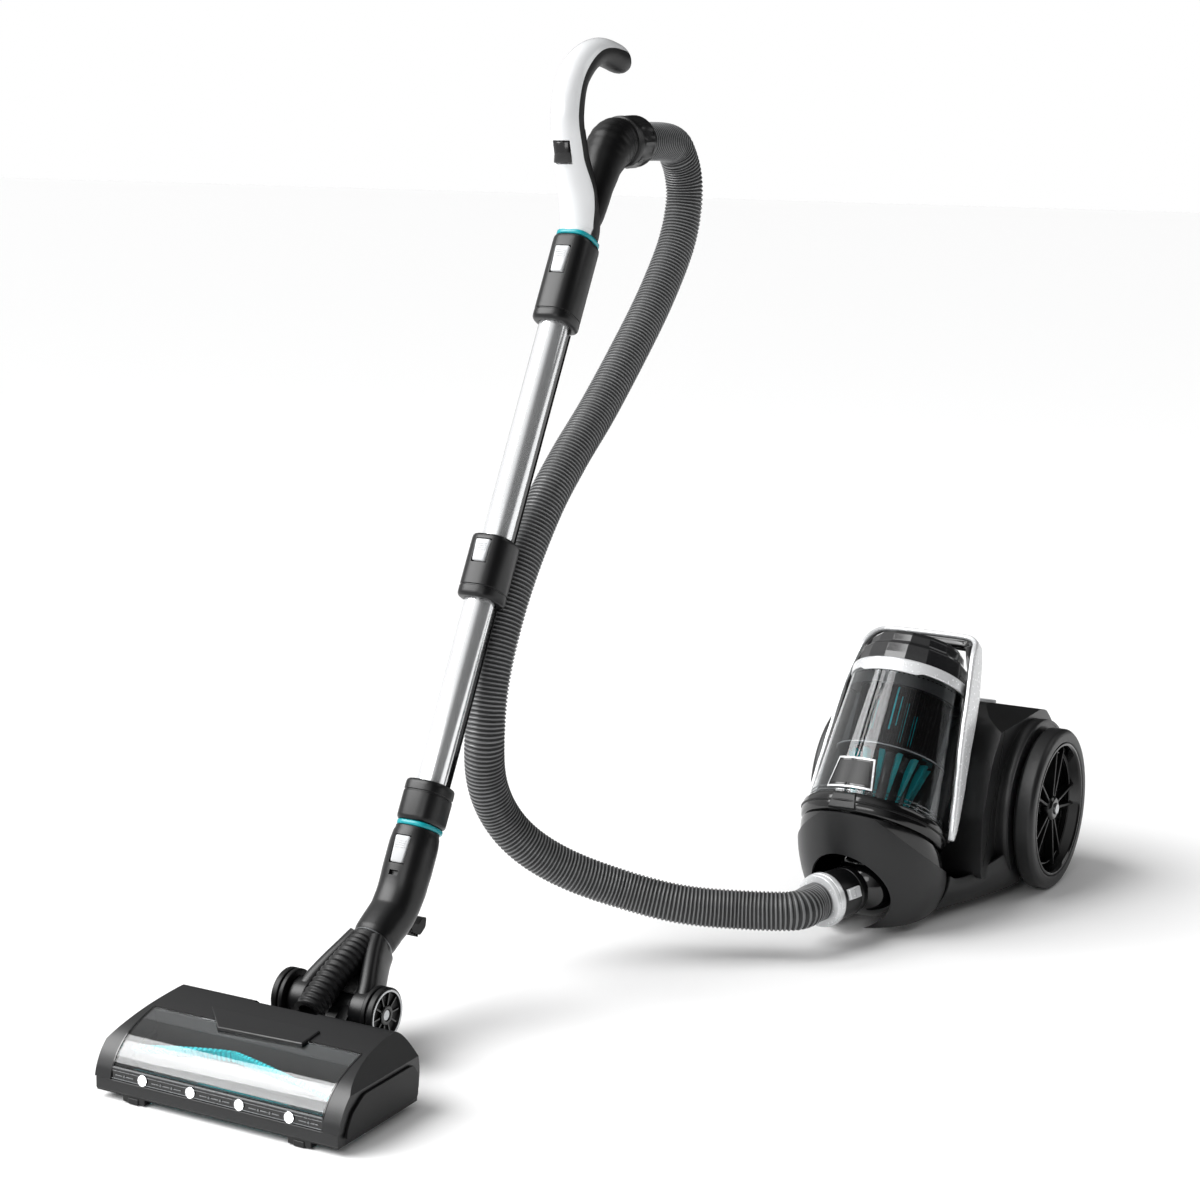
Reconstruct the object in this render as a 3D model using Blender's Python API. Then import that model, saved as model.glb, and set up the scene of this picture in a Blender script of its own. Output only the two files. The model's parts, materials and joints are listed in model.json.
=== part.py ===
"""Canister vacuum cleaner: canister, hose, hooked handle, two-piece wand and powered floor head.

Lengths are in millimetres until add() turns them into metres. The front of the machine is -Y.
The floor is z = 0. Each sub-assembly is drawn in its own frame, and the last step centres the whole
machine on the origin.
"""

import math

import bmesh
import bpy
from mathutils import Matrix, Vector

MM = 0.001
GAP = 0.4               # clearance between touching pieces
FINE = 32               # sides of large round pieces, then of smaller ones
MEDIUM = 24
COARSE = 16
TINY = 12

# Where the sub-assemblies stand
WAND_X = -120.0         # the wand, handle and head share this plane
CANISTER_X = 169.0
BEND = (WAND_X, -190.0, 137.0)      # foot of the wand axis, where the neck bends
WAND_LEAN = math.radians(29.2)
BIN_FOOT = (CANISTER_X, 320.0, 112.0)
BIN_LEAN = math.radians(34.0)

# Wand, by height along its axis from the bend
TUBE_R = 16.0
TUBE_BORE_R = 14.8
SOCKET_BORE_R = 16.5
NECK_TOP = 61.6
LOWER_RING = (62.0, 67.0)
LOWER_COLLAR = (67.4, 110.0)
MID_COLLAR = (306.0, 374.0)
UPPER_SOCKET = (617.0, 714.6)
HANDLE_RING = (715.0, 720.0)
LOWER_TUBE = (22.0, 340.0)
UPPER_TUBE = (341.0, 666.0)
COLLAR_SIDE = 22.0
COLLAR_FRONT = 23.0
COLLAR_REAR = 28.5
LATCH_WIDTH = 17.0
LATCH_DEPTH = (18.6, 24.6)

# Hose and its two ends
HOSE_R = 21.5
CUFF_START = (WAND_X, 250.0, 863.0)
CUFF_LENGTH = 38.0
INLET_CENTRE = (CANISTER_X + 9.0, 293.0, 55.0)
INLET_AXIS = (-22.0, -86.0, -1.0)
RING_SPAN = (76.0, 90.0)            # silver ring, along the inlet axis
HOSE_ROUTE = (
    (-120, 366, 859), (-120, 390, 842), (-120, 403, 815), (-120, 402, 784), (-120, 386, 746),
    (-120, 350, 702), (-120, 300, 654), (-120, 210, 579), (-120, 140, 528), (-120, 82, 478),
    (-120, 22, 404), (-120, -18, 328), (-120, -33, 262), (-124, -24, 208), (-119, -4, 164),
    (-100, 18, 129), (-68, 48, 99), (-22, 82, 75), (34, 108, 60), (88, 136, 54),
)

# Canister
WHEEL_R = 94.0
WHEEL_Y = 542.0
WHEEL_X = (116.0, 140.0)
HUB_R = 78.0
AXLE_R = 6.0
CHASSIS_Z = (12.0, 40.0)
CASTER_Y = 374.0
CASTER_R = 14.0
BIN_R = 82.0
BIN_PLANE = -14.0       # underside of the bin, along the bin axis
CRADLE_R = 85.0
HANDLE_PIVOT = (21.0, 6.0)          # behind and above the bin's foot, in the bin frame
MOTOR_Z = 155.0
BUTTON_X = 38.0
DECK_TOP = (495.0, 224.0)           # front and rear ends of the sloping deck, in (y, z)
DECK_REAR = (600.0, 196.0)
DECK_TILT = math.atan2(DECK_TOP[1] - DECK_REAR[1], DECK_REAR[0] - DECK_TOP[0])
SHOULDER = (62.0, 99.0, 24.0)       # inner and outer edge of the sloping shoulder, and its drop

# Floor head
HEAD_SIDE = 139.6
SIDE_COVER = (140.0, 142.6)
PIVOT = (-306.0, 53.0)
PIVOT_PIN_R = 5.0
BRUSH = (-455.0, 31.0)
BRUSH_MOTOR = (-398.0, 38.0)
HEAD_PROFILE = (
    (-372, 20.4), (-369, 40), (-376, 76), (-425, 72), (-450, 66.5), (-472, 57), (-488, 44), (-496.5, 30),
    (-499, 20.4),
)

MATERIALS = {           # colour, roughness, metallic
    "black_plastic": ((0.020, 0.021, 0.023), 0.38, 0.0),
    "charcoal_plastic": ((0.060, 0.062, 0.065), 0.42, 0.0),
    "white_plastic": ((0.85, 0.86, 0.87), 0.25, 0.0),
    "silver_plastic": ((0.62, 0.64, 0.66), 0.30, 0.6),
    "grey_plastic": ((0.50, 0.51, 0.52), 0.40, 0.0),
    "teal_plastic": ((0.0, 0.36, 0.42), 0.35, 0.0),
    "hose_plastic": ((0.17, 0.18, 0.18), 0.45, 0.0),
    "chrome": ((0.90, 0.91, 0.92), 0.08, 1.0),
    "rubber": ((0.030, 0.030, 0.032), 0.70, 0.0),
    "steel": ((0.55, 0.56, 0.57), 0.35, 1.0),
    "clear_plastic": ((0.75, 0.78, 0.80), 0.05, 0.0),
    "filter_foam": ((0.30, 0.31, 0.32), 0.9, 0.0),
}


# Frames ------------------------------------------------------------------------------------------

def frame_at(origin, z_axis=(0, 0, 1), x_axis=(1, 0, 0)):
    """A matrix in millimetres whose local Z runs along z_axis."""
    z = Vector(z_axis).normalized()
    y = z.cross(Vector(x_axis)).normalized()
    x = y.cross(z)
    turn = Matrix((x, y, z)).transposed().to_4x4()
    return Matrix.Translation(Vector(origin)) @ turn


def leaning(origin, angle):
    """A frame whose local Z leans back, towards +Y, by the angle."""
    return frame_at(origin, (0, math.sin(angle), math.cos(angle)))


HEAD = Matrix.Translation((WAND_X, 0, 0))           # also the wand's own plane
CANISTER = Matrix.Translation((CANISTER_X, 0, 0))
WAND = leaning(BEND, WAND_LEAN)
BIN = leaning(BIN_FOOT, BIN_LEAN)
INLET = frame_at(INLET_CENTRE, INLET_AXIS)
CUFF = frame_at(CUFF_START, (0, 1, 0))
DECK = leaning((CANISTER_X, (DECK_TOP[0] + DECK_REAR[0]) / 2, (DECK_TOP[1] + DECK_REAR[1]) / 2), DECK_TILT)


def sideways(x, y, z, base=CANISTER):
    """A frame at a point of the base frame, with its local Z along +X."""
    return base @ frame_at((x, y, z), (1, 0, 0), (0, 1, 0))


# Scene helpers -----------------------------------------------------------------------------------

def clear_scene():
    for item in list(bpy.data.objects):
        bpy.data.objects.remove(item)


def material(name):
    found = bpy.data.materials.get(name)
    if found:
        return found
    colour, roughness, metallic = MATERIALS[name]
    made = bpy.data.materials.new(name)
    made.use_nodes = True
    shader = made.node_tree.nodes["Principled BSDF"]
    shader.inputs["Base Color"].default_value = (*colour, 1.0)
    shader.inputs["Roughness"].default_value = roughness
    shader.inputs["Metallic"].default_value = metallic
    return made


def add(name, shape, look=None, frame=Matrix.Identity(4), centre=(0, 0, 0)):
    """Makes an object from (points, faces) in the frame, with its origin at centre."""
    points, faces = shape
    middle = Vector(centre)
    mesh = bpy.data.meshes.new(name)
    mesh.from_pydata([(Vector(p) - middle) * MM for p in points], [], faces)
    tidy = bmesh.new()
    tidy.from_mesh(mesh)
    bmesh.ops.recalc_face_normals(tidy, faces=tidy.faces)
    if tidy.calc_volume(signed=True) < 0:
        bmesh.ops.reverse_faces(tidy, faces=tidy.faces)
    tidy.to_mesh(mesh)
    tidy.free()
    item = bpy.data.objects.new(name, mesh)
    bpy.context.collection.objects.link(item)
    place = frame @ Matrix.Translation(middle)
    place.translation *= MM
    item.matrix_world = place
    if look:
        mesh.materials.append(material(look))
    mesh.shade_smooth()
    mesh.set_sharp_from_angle(angle=math.radians(35))
    return item


def combine(target, others, operation):
    """Applies exact booleans to the target, one tool at a time, and removes the tools."""
    for other in others:
        bpy.context.view_layer.update()
        step = target.modifiers.new("step", "BOOLEAN")
        step.operation = operation
        step.object = other
        graph = bpy.context.evaluated_depsgraph_get()
        result = bpy.data.meshes.new_from_object(target.evaluated_get(graph))
        target.modifiers.remove(step)
        target.data = result
        bpy.data.objects.remove(other)
    weld = bmesh.new()
    weld.from_mesh(target.data)
    bmesh.ops.remove_doubles(weld, verts=weld.verts, dist=0.00002)
    bmesh.ops.dissolve_degenerate(weld, edges=weld.edges, dist=0.00002)
    weld.to_mesh(target.data)
    weld.free()
    target.data.shade_smooth()
    target.data.set_sharp_from_angle(angle=math.radians(35))
    return target


def cut(target, *tools):
    return combine(target, tools, "DIFFERENCE")


def join(target, *tools):
    return combine(target, tools, "UNION")


# Shapes ------------------------------------------------------------------------------------------

def bridge(count, first, second):
    """Quads between two rings of points that start at the given indices."""
    return [
        (first + i, first + (i + 1) % count, second + (i + 1) % count, second + i) for i in range(count)
    ]


def loft(loops):
    """A closed solid through the loops, with flat ends."""
    count = len(loops[0])
    points = [p for loop in loops for p in loop]
    faces = [tuple(range(count))]
    for i in range(len(loops) - 1):
        faces += bridge(count, i * count, (i + 1) * count)
    faces.append(tuple(range((len(loops) - 1) * count, len(loops) * count)))
    return points, faces


def sleeve(outer, inner):
    """A wall between outer and inner loops, open at both ends."""
    count = len(outer[0])
    loops = list(outer) + list(reversed(inner))
    points = [p for loop in loops for p in loop]
    faces = []
    for i in range(len(loops)):
        faces += bridge(count, i * count, ((i + 1) % len(loops)) * count)
    return points, faces


def circle(radius, z, sides=MEDIUM):
    turns = [2 * math.pi * i / sides for i in range(sides)]
    return [(radius * math.cos(a), radius * math.sin(a), z) for a in turns]


def turned(profile, sides=MEDIUM):
    """Turns a closed (radius, z) outline about local Z; points with no radius close on the axis."""
    points = []
    rows = []
    for radius, z in profile:
        if radius == 0:
            rows.append([len(points)] * sides)
            points.append((0, 0, z))
        else:
            rows.append(list(range(len(points), len(points) + sides)))
            points += circle(radius, z, sides)
    faces = []
    for i, row in enumerate(rows):
        following = rows[(i + 1) % len(rows)]
        for k in range(sides):
            n = (k + 1) % sides
            corners = list(dict.fromkeys((row[k], row[n], following[n], following[k])))
            if len(corners) > 2:
                faces.append(tuple(corners))
    return points, faces


def tube(outer, inner, low, high, sides=MEDIUM):
    return turned([(outer, low), (outer, high), (inner, high), (inner, low)], sides)


def rod(radius, low, high, sides=MEDIUM):
    return turned([(0, low), (radius, low), (radius, high), (0, high)], sides)


def box(x, y, z):
    """A box between pairs of limits."""
    return loft([[(x[0], y[0], h), (x[1], y[0], h), (x[1], y[1], h), (x[0], y[1], h)] for h in z])


def extruded(outline, low, high):
    """An outline of (y, z) points drawn out along X."""
    return loft([[(x, y, z) for y, z in outline] for x in (low, high)])


def upright(outline, low, high):
    """An outline of (x, y) points drawn out along Z."""
    return loft([[(x, y, z) for x, y in outline] for z in (low, high)])


def inset(outline, distance):
    """The outline moved inwards by a distance, with mitred corners; the outline is convex."""
    centre = sum((Vector(p) for p in outline), Vector((0, 0))) / len(outline)
    moved = []
    for i, point in enumerate(outline):
        here = Vector(point)
        sides = []
        for other in (outline[i - 1], outline[(i + 1) % len(outline)]):
            along = (Vector(other) - here).normalized()
            inward = Vector((-along.y, along.x))
            if inward.dot(centre - here) < 0:
                inward = -inward
            sides.append(inward)
        mitre = (sides[0] + sides[1]) / (1 + sides[0].dot(sides[1]))
        moved.append(tuple(here + mitre * distance))
    return moved


def smooth_curve(points, count):
    """Evenly counted points of a Catmull-Rom curve through the given points."""
    knots = [Vector(p) for p in points]
    knots = [2 * knots[0] - knots[1]] + knots + [2 * knots[-1] - knots[-2]]
    spans = len(points) - 1
    found = []
    for i in range(count):
        place = spans * i / (count - 1)
        span = min(int(place), spans - 1)
        t = place - span
        a, b, c, d = knots[span:span + 4]
        found.append(0.5 * (2 * b + (c - a) * t + (2 * a - 5 * b + 4 * c - d) * t * t
                            + (3 * b - a - 3 * c + d) * t ** 3))
    return found


def swept(path, section):
    """Loops along a (y, z) path; section(share) gives (across, outwards) points, outwards to the left."""
    loops = []
    for i, here in enumerate(path):
        ahead = path[min(i + 1, len(path) - 1)]
        behind = path[max(i - 1, 0)]
        along = (ahead - behind).normalized()
        left = Vector((-along.y, along.x))
        loop = []
        for across, outwards in section(i / (len(path) - 1)):
            spot = here + left * outwards
            loop.append((across, spot.x, spot.y))
        loops.append(loop)
    return loops


def oval(across, outwards, sides=20):
    turns = [2 * math.pi * i / sides for i in range(sides)]
    return [(across * math.cos(a), outwards * math.sin(a)) for a in turns]


def blend(values, share):
    """Reads a list of evenly spaced values at a share from 0 to 1."""
    place = share * (len(values) - 1)
    step = min(int(place), len(values) - 2)
    return values[step] + (values[step + 1] - values[step]) * (place - step)


# Canister ----------------------------------------------------------------------------------------

def chassis_outline(side=0.0):
    half = [(40, 342), (58, 345), (62, 360), (76, 392), (96, 452), (103, 490), (103, 636), (92, 650)]
    half = [(x - side, y + side if y < 350 else y - side if y > 600 else y) for x, y in half]
    return half + [(-x, y) for x, y in reversed(half)]


def make_chassis():
    low, high = CHASSIS_Z
    floor = 3.5
    body = add("chassis", upright(chassis_outline(), low, high), "charcoal_plastic", CANISTER)
    cut(body, add("tool", upright(chassis_outline(4.0), low + floor, high + 5), frame=CANISTER))
    well = CANISTER @ Matrix.Translation((0, CASTER_Y, 0))
    join(body, add("tool", rod(27.0, low + 0.5, 38.0), frame=well))
    cut(body, add("tool", rod(24.0, 0, 32.0), frame=well), add("tool", rod(4.4, 20, 60, TINY), frame=well))
    return body


def make_caster():
    fork_frame = CANISTER @ Matrix.Translation((0, CASTER_Y, 0))
    fork = add("caster_fork", rod(22.0, 29.0, 31.6), "black_plastic", fork_frame)
    tools = [add("tool", rod(4.0, 30.0, 40.0, TINY), frame=fork_frame)]
    for side in (-1, 1):
        cheek = box(sorted((side * 8.0, side * 11.0)), (-6, 6), (9, 30))
        tools.append(add("tool", cheek, frame=fork_frame))
    join(fork, *tools)
    pin = add("tool", rod(2.0, -12, 12, TINY), frame=sideways(0, CASTER_Y, CASTER_R))
    join(fork, pin)
    wheel_frame = sideways(0, CASTER_Y, CASTER_R)
    add("caster_wheel", tube(CASTER_R, 2.4, -7.4, 7.4, COARSE), "rubber", wheel_frame)


def ellipsoid(centre, radii, sides=28, rows=12):
    profile = []
    for i in range(rows + 1):
        a = math.pi * i / rows
        profile.append((0 if i in (0, rows) else math.sin(a), math.cos(a)))
    points, faces = turned(profile, sides)
    return [tuple(c + r * v for c, r, v in zip(centre, radii, p)) for p in points], faces


def make_cowl():
    centre = (0, 338, 42)
    wall = 3.5
    cowl = add("front_cowl", ellipsoid(centre, (76, 88, 112)), "charcoal_plastic", CANISTER)
    cut(
        cowl,
        add("tool", ellipsoid(centre, (76 - wall, 88 - wall, 112 - wall)), frame=CANISTER),
        add("tool", box((-120, 120), (200, 500), (-100, 13)), frame=CANISTER),
        add("tool", box((-120, 120), (-200, 300), (BIN_PLANE - GAP, 300)), frame=BIN),
        add("tool", box((-120, 120), (359, 600), (-50, 300)), frame=CANISTER),
        add("tool", rod(46.0, 0, 120), frame=INLET),
        add("tool", box((-37, 54), (150, 300), (-50, 50)), frame=CANISTER),
    )
    return cowl


def make_inlet():
    ball = 38.0
    bore = 21.6
    arc = []
    for i in range(7):
        z = -30.0 + 62.0 * i / 6
        arc.append((math.sqrt(ball ** 2 - z ** 2), z))
    add("inlet_socket", turned(arc + [(bore, 32.0), (bore, -30.0)]), "black_plastic", INLET)
    connector = [(21.2, -4), (21.2, 33), (25, 34), (26.5, 50), (27, 75.6), (17, 75.6), (17, -4)]
    body = add("hose_connector", turned(connector), "black_plastic", INLET)
    pocket = latch_pocket_frame()
    cut(body, add("tool", box((-6.4, 6.4), (-10.4, 10.4), (21.6, 40)), frame=pocket))
    add("connector_latch", box((-6, 6), (-10, 10), (24.2, 30)), "grey_plastic", pocket)
    low, high = RING_SPAN
    ring = [(29, low), (29.8, low + 3), (29.8, high - 3), (28, high), (17, high), (17, low)]
    add("connector_ring", turned(ring), "silver_plastic", INLET)


def latch_pocket_frame():
    """On the connector's +X side, a little above its middle, with local Z pointing outwards."""
    along = INLET.to_3x3() @ Vector((0, 0, 1))
    out = Vector((0.94, -0.14, 0.30))
    out = (out - along * out.dot(along)).normalized()
    return frame_at(INLET @ Vector((0, 0, 60)), out, out.cross(along))


def rear_profile():
    """The rear body's side outline, in (y, z)."""
    return [(400, 40.4), (400, 110), (425, 170), (462, 213), DECK_TOP, DECK_REAR, (634, 165), (650, 118),
            (653, 84), (651, 40.4)]


def make_rear_body():
    wall = 4.0
    half = 99.0
    arch = WHEEL_R + 8

    def mass(thin):
        block = extruded(inset(rear_profile(), thin) if thin else rear_profile(), -half + thin, half - thin)
        piece = add("tool", block, frame=CANISTER)
        inner, outer, drop = SHOULDER
        top = DECK_TOP[1] - thin
        for side in (-1, 1):
            facet = [(side * inner, top), (side * (outer + 1), top - drop), (side * (outer + 1), top + 20),
                     (side * inner, top + 20)]
            wedge = loft([[(x, y, z) for x, z in facet] for y in (380, 680)])
            cut(piece, add("tool", wedge, frame=CANISTER))
        fender = rod(arch - thin, -114 + thin, 114 - thin, FINE)
        join(piece, add("tool", fender, frame=sideways(0, WHEEL_Y, WHEEL_R)))
        cut(
            piece,
            add("tool", rod(CRADLE_R + thin, -200, 400, FINE), frame=BIN),
            add("tool", box((-97 - thin, 97 + thin), (-200, 36 + thin), (-200, 400)), frame=BIN),
            add("tool", box((-300, 300), (0, 900), (-100, 40.4 if not thin else 20)), frame=CANISTER),
        )
        return piece

    shell = mass(0)
    shell.name = "body_shell"
    shell.data.materials.clear()
    shell.data.materials.append(material("charcoal_plastic"))
    hollow = mass(wall)
    lower = add("tool", box((-95, 95), (460, 640), (10, 60)), frame=CANISTER)
    join(hollow, lower)
    cut(shell, hollow)
    for side in (-1, 1):
        stub = rod(AXLE_R, 112, 137, TINY) if side > 0 else rod(AXLE_R, -137, -112, TINY)
        join(shell, add("tool", stub, frame=sideways(0, WHEEL_Y, WHEEL_R)))
        seat = DECK @ Matrix.Translation((side * BUTTON_X, 0, 0))
        cut(shell, add("tool", rod(16.4, -12, 20, COARSE), frame=seat))
    gland_frame = CANISTER @ frame_at((0, 640, 105), (0, 1, 0))
    cut(shell, add("tool", rod(8.4, -5, 30, TINY), frame=gland_frame))
    gland = [(8, 4), (8, 14.6), (12, 14.6), (10, 20), (3.5, 20), (3.5, 4)]
    add("cord_gland", turned(gland, TINY), "rubber", gland_frame)


def make_pedals():
    for side, name in ((1, "power_button"), (-1, "rewind_button")):
        seat = DECK @ Matrix.Translation((side * BUTTON_X, 0, 0))
        profile = [(0, -11), (16, -11), (16, 2.4), (14, 4), (0, 4)]
        add(name, turned(profile, COARSE), "grey_plastic", seat)


def make_wheels():
    low, high = WHEEL_X
    tread = [(HUB_R + GAP, low + 1), (WHEEL_R - 4, low), (WHEEL_R, low + 4), (WHEEL_R, high - 4),
             (WHEEL_R - 4, high), (HUB_R + GAP, high - 1)]
    hub = [(AXLE_R + GAP, low + 2), (HUB_R, low + 2), (HUB_R, high - 1), (73, high - 1), (71, low + 10),
           (22, low + 10), (16, high - 2), (AXLE_R + GAP, high - 2)]
    for side, word in ((-1, "left"), (1, "right")):
        frame = sideways(0, WHEEL_Y, WHEEL_R)
        if side < 0:
            frame = CANISTER @ frame_at((0, WHEEL_Y, WHEEL_R), (-1, 0, 0), (0, 1, 0))
        middle = (0, 0, (low + high) / 2)
        add(f"{word}_tyre", turned(tread, FINE), "rubber", frame, middle)
        wheel = add(f"{word}_wheel", turned(hub, FINE), "black_plastic", frame, middle)
        windows = []
        for k in range(5):
            turn = frame @ Matrix.Rotation(2 * math.pi * k / 5, 4, "Z")
            outline = [(26, -5), (64, -26), (64, 26), (26, 5)]
            windows.append(add("tool", upright(outline, low, high), frame=turn))
        cut(wheel, *windows)


def make_inside():
    motor_frame = CANISTER @ frame_at((0, 0, MOTOR_Z), (0, 1, 0))
    motor = [(0, 492), (4, 492), (4, 506), (36, 506), (38, 510), (38, 566), (32, 574), (14, 574), (12, 586),
             (0, 586)]
    add("motor", turned(motor, COARSE), "steel", motor_frame)
    fan = [(4.4, 489), (14, 489), (38, 495), (38, 503), (36, 503), (14, 501), (4.4, 501)]
    add("fan_impeller", turned(fan, COARSE), "grey_plastic", motor_frame, (0, 0, 495))
    reel_frame = CANISTER @ Matrix.Translation((0, 535, 0))
    reel = [(6, 46), (62, 46), (62, 49), (34, 52), (34, 76), (62, 79), (62, 82), (6, 82)]
    add("cord_reel", turned(reel, MEDIUM), "black_plastic", reel_frame)


# Dust bin ----------------------------------------------------------------------------------------

def make_bin():
    base = [(0, -13), (74, -13), (BIN_R - 1, -9), (BIN_R, -4), (BIN_R, 7), (BIN_R - 3, 11), (76.4, 12),
            (76.4, -6), (0, -6)]
    foot = add("bin_base", turned(base, FINE), "black_plastic", BIN)
    offset, height = HANDLE_PIVOT
    for side in (-1, 1):
        ends = sorted((side * 78.0, side * 83.6))
        pin_ends = sorted((side * 80.0, side * 90.0))
        seat = sideways(0, offset, height, BIN)
        boss = add("tool", rod(6, *ends, TINY), frame=seat)
        pin = add("tool", rod(3, *pin_ends, TINY), frame=seat)
        join(foot, boss, pin)
    wall = 2.4
    outer = [(76, -5.6), (76, 13), (65.5, 166)]
    inner = [(r - wall, z) for r, z in outer]
    add("bin_tank", turned(outer + inner[::-1], FINE), "clear_plastic", BIN)
    band = [(66.5, 166.4), (66.5, 177), (64.5, 178.6), (56, 178.6), (56, 166.4)]
    add("bin_band", turned(band, FINE), "silver_plastic", BIN)
    lid = [(0, 219), (40, 219), (50, 215), (60, 190), (63, 179), (59, 179), (56, 189), (46, 211), (0, 214)]
    add("bin_lid", turned(lid, MEDIUM), "charcoal_plastic", BIN)


def ribbed_loop(outer, inner, z, ribs, twist=0.0):
    loop = []
    for i in range(2 * ribs):
        radius = outer if i % 2 else inner
        a = math.pi * i / ribs + twist
        loop.append((radius * math.cos(a), radius * math.sin(a), z))
    return loop


def make_cyclone():
    ribs = 18
    walls = ((50, 47.5), (51, 48.5))
    outer = [ribbed_loop(*walls[0], 80, ribs), ribbed_loop(*walls[1], 150, ribs)]
    inner = [circle(45, z, 2 * ribs) for z in (80, 150)]
    add("cyclone_shroud", sleeve(outer, inner), "black_plastic", BIN)
    fins = []
    for i in range(5):
        share = i / 4
        fins.append(ribbed_loop(30 + 14 * share, 16 + 10 * share, -4 + 82 * share, 9, 0.5 * share))
    add("cyclone_fins", loft(fins), "teal_plastic", BIN)
    add("bin_filter", tube(52, 20, 152, 163), "filter_foam", BIN)


def make_carry_handle():
    """A silver arch over the bin, swung on the pins at its foot."""
    offset, height = HANDLE_PIVOT
    top = 240.0
    arm = [(88.6, height - 4), (88.6, 30), (84, 90), (78, 160), (74, 205), (72, 222)]
    corner = [(68 - 10 + 12 * math.cos(a), top - 12 + 10 * math.sin(a)) for a in
              (math.radians(20), math.radians(45), math.radians(70))]
    right = arm + corner + [(46, top), (20, top)]
    path = [Vector(p) for p in right + [(-x, z) for x, z in reversed(right)]]
    loops = []
    for i, here in enumerate(path):
        ahead = path[min(i + 1, len(path) - 1)]
        behind = path[max(i - 1, 0)]
        along = (ahead - behind).normalized()
        out = Vector((along.y, -along.x))
        share = min(1.0, here.y / 200.0)
        width = 8.5 + 4.0 * share
        thick = 4.0
        loop = []
        for u, v in ((-1, -1), (0.55, -1), (1, -0.4), (1, 0.4), (0.55, 1), (-1, 1)):
            spot = here + out * thick * u
            loop.append((spot.x, offset + width * v, spot.y))
        loops.append(loop)
    pivot = (0, offset, height)
    arch = add("carry_handle", loft(loops), "silver_plastic", BIN, pivot)
    for side in (-1, 1):
        ends = sorted((side * 82.0, side * 95.0))
        cut(arch, add("tool", rod(3.4, *ends, TINY), frame=sideways(0, offset, height, BIN)))


# Wand --------------------------------------------------------------------------------------------

def collar_loop(z, grow=0.0, sides=MEDIUM):
    loop = []
    for i in range(sides):
        a = 2 * math.pi * i / sides
        x = math.copysign(abs(math.cos(a)) ** 0.75, math.cos(a)) * (COLLAR_SIDE + grow)
        depth = COLLAR_REAR if math.sin(a) > 0 else COLLAR_FRONT
        y = math.copysign(abs(math.sin(a)) ** 0.85, math.sin(a)) * (depth + grow)
        loop.append((x, y, z))
    return loop


def make_collar(name, span):
    low, high = span
    outer = [collar_loop(low, -2), collar_loop(low + 4), collar_loop(high - 4), collar_loop(high, -2)]
    inner = [circle(SOCKET_BORE_R, z) for z in (low, low + 4, high - 4, high)]
    return add(name, sleeve(outer, inner), "charcoal_plastic", WAND)


def make_latch(name, host, low, high):
    """A push button on the wand's front, in a pocket of its host."""
    near, far = LATCH_DEPTH
    half = LATCH_WIDTH / 2
    slack = 2 * GAP
    pocket = box((-half - GAP, half + GAP), (-60, -near + 1.0), (low - slack, high + slack))
    cut(host, add("tool", pocket, frame=WAND))
    outline = [(-half + 1.5, low), (half - 1.5, low), (half, high), (-half, high)]
    shape = loft([[(x, y, z) for x, z in outline] for y in (-near - 1.6, -far)])
    add(name, shape, "grey_plastic", WAND, (0, -far, (low + high) / 2))


def channel_loop(z):
    near = TUBE_R + 0.5
    turns = [math.radians(a) for a in (62, 76, 90, 104, 118)]
    loop = [(near * math.cos(a), near * math.sin(a), z) for a in turns]
    return loop + [(-8.5, 25, z), (-6.5, 28, z), (6.5, 28, z), (8.5, 25, z)]


def make_wand():
    for name, span in (("upper_tube", UPPER_TUBE), ("lower_tube", LOWER_TUBE)):
        add(name, tube(TUBE_R, TUBE_BORE_R, *span), "chrome", WAND)
    runs = (
        ("upper_channel", MID_COLLAR[1], UPPER_SOCKET[0]),
        ("lower_channel", LOWER_COLLAR[1], MID_COLLAR[0]),
    )
    for name, low, high in runs:
        add(name, loft([channel_loop(z) for z in (low + GAP, high - GAP)]), "black_plastic", WAND)
    socket = make_collar("upper_socket", UPPER_SOCKET)
    make_latch("upper_latch", socket, 669, 699)
    middle = make_collar("mid_collar", MID_COLLAR)
    make_latch("mid_latch", middle, 343, 367)
    make_collar("lower_collar", LOWER_COLLAR)
    add("lower_ring", sleeve([collar_loop(z, -1.5) for z in LOWER_RING],
                             [circle(SOCKET_BORE_R, z) for z in LOWER_RING]), "teal_plastic", WAND)


def make_neck():
    path = [Vector(p) for p in ((-160.2, 190.6), (-171, 171), (-183, 149.5), (-193, 133), (-208, 117),
                                (-226, 107), (-243, 97))]
    outer_r = (24.5, 24.5, 24.0, 23.5, 23.0, 22.5, 22.0)
    bore_r = (16.6, 16.6, 16.6, 15.0, 14.0, 14.0, 14.0)
    outer = swept(path, lambda s: oval(blend(outer_r, s) * 0.96, blend(outer_r, s)))
    inner = swept(path, lambda s: oval(blend(bore_r, s), blend(bore_r, s)))
    neck = add("neck", sleeve(outer, inner), "charcoal_plastic", HEAD)
    make_latch("neck_latch", neck, 22, 50)
    clip = [(-190, 108), (-186, 92), (-172, 84), (-164, 96), (-170, 98), (-174, 94), (-181, 98), (-184, 112)]
    join(neck, add("tool", extruded(clip, -8, 8), frame=HEAD))


# Handle ------------------------------------------------------------------------------------------

def oval_slice(across, outwards, cut_line, upper, sides=10):
    """The part of an oval above (or below) a line at the given share of its height."""
    start = math.asin(cut_line)
    if upper:
        turns = [start + (math.pi - 2 * start) * i / sides for i in range(sides + 1)]
    else:
        turns = [math.pi - start + (math.pi + 2 * start) * i / sides for i in range(sides + 1)]
    return [(across * math.cos(a), outwards * math.sin(a)) for a in turns]


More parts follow.
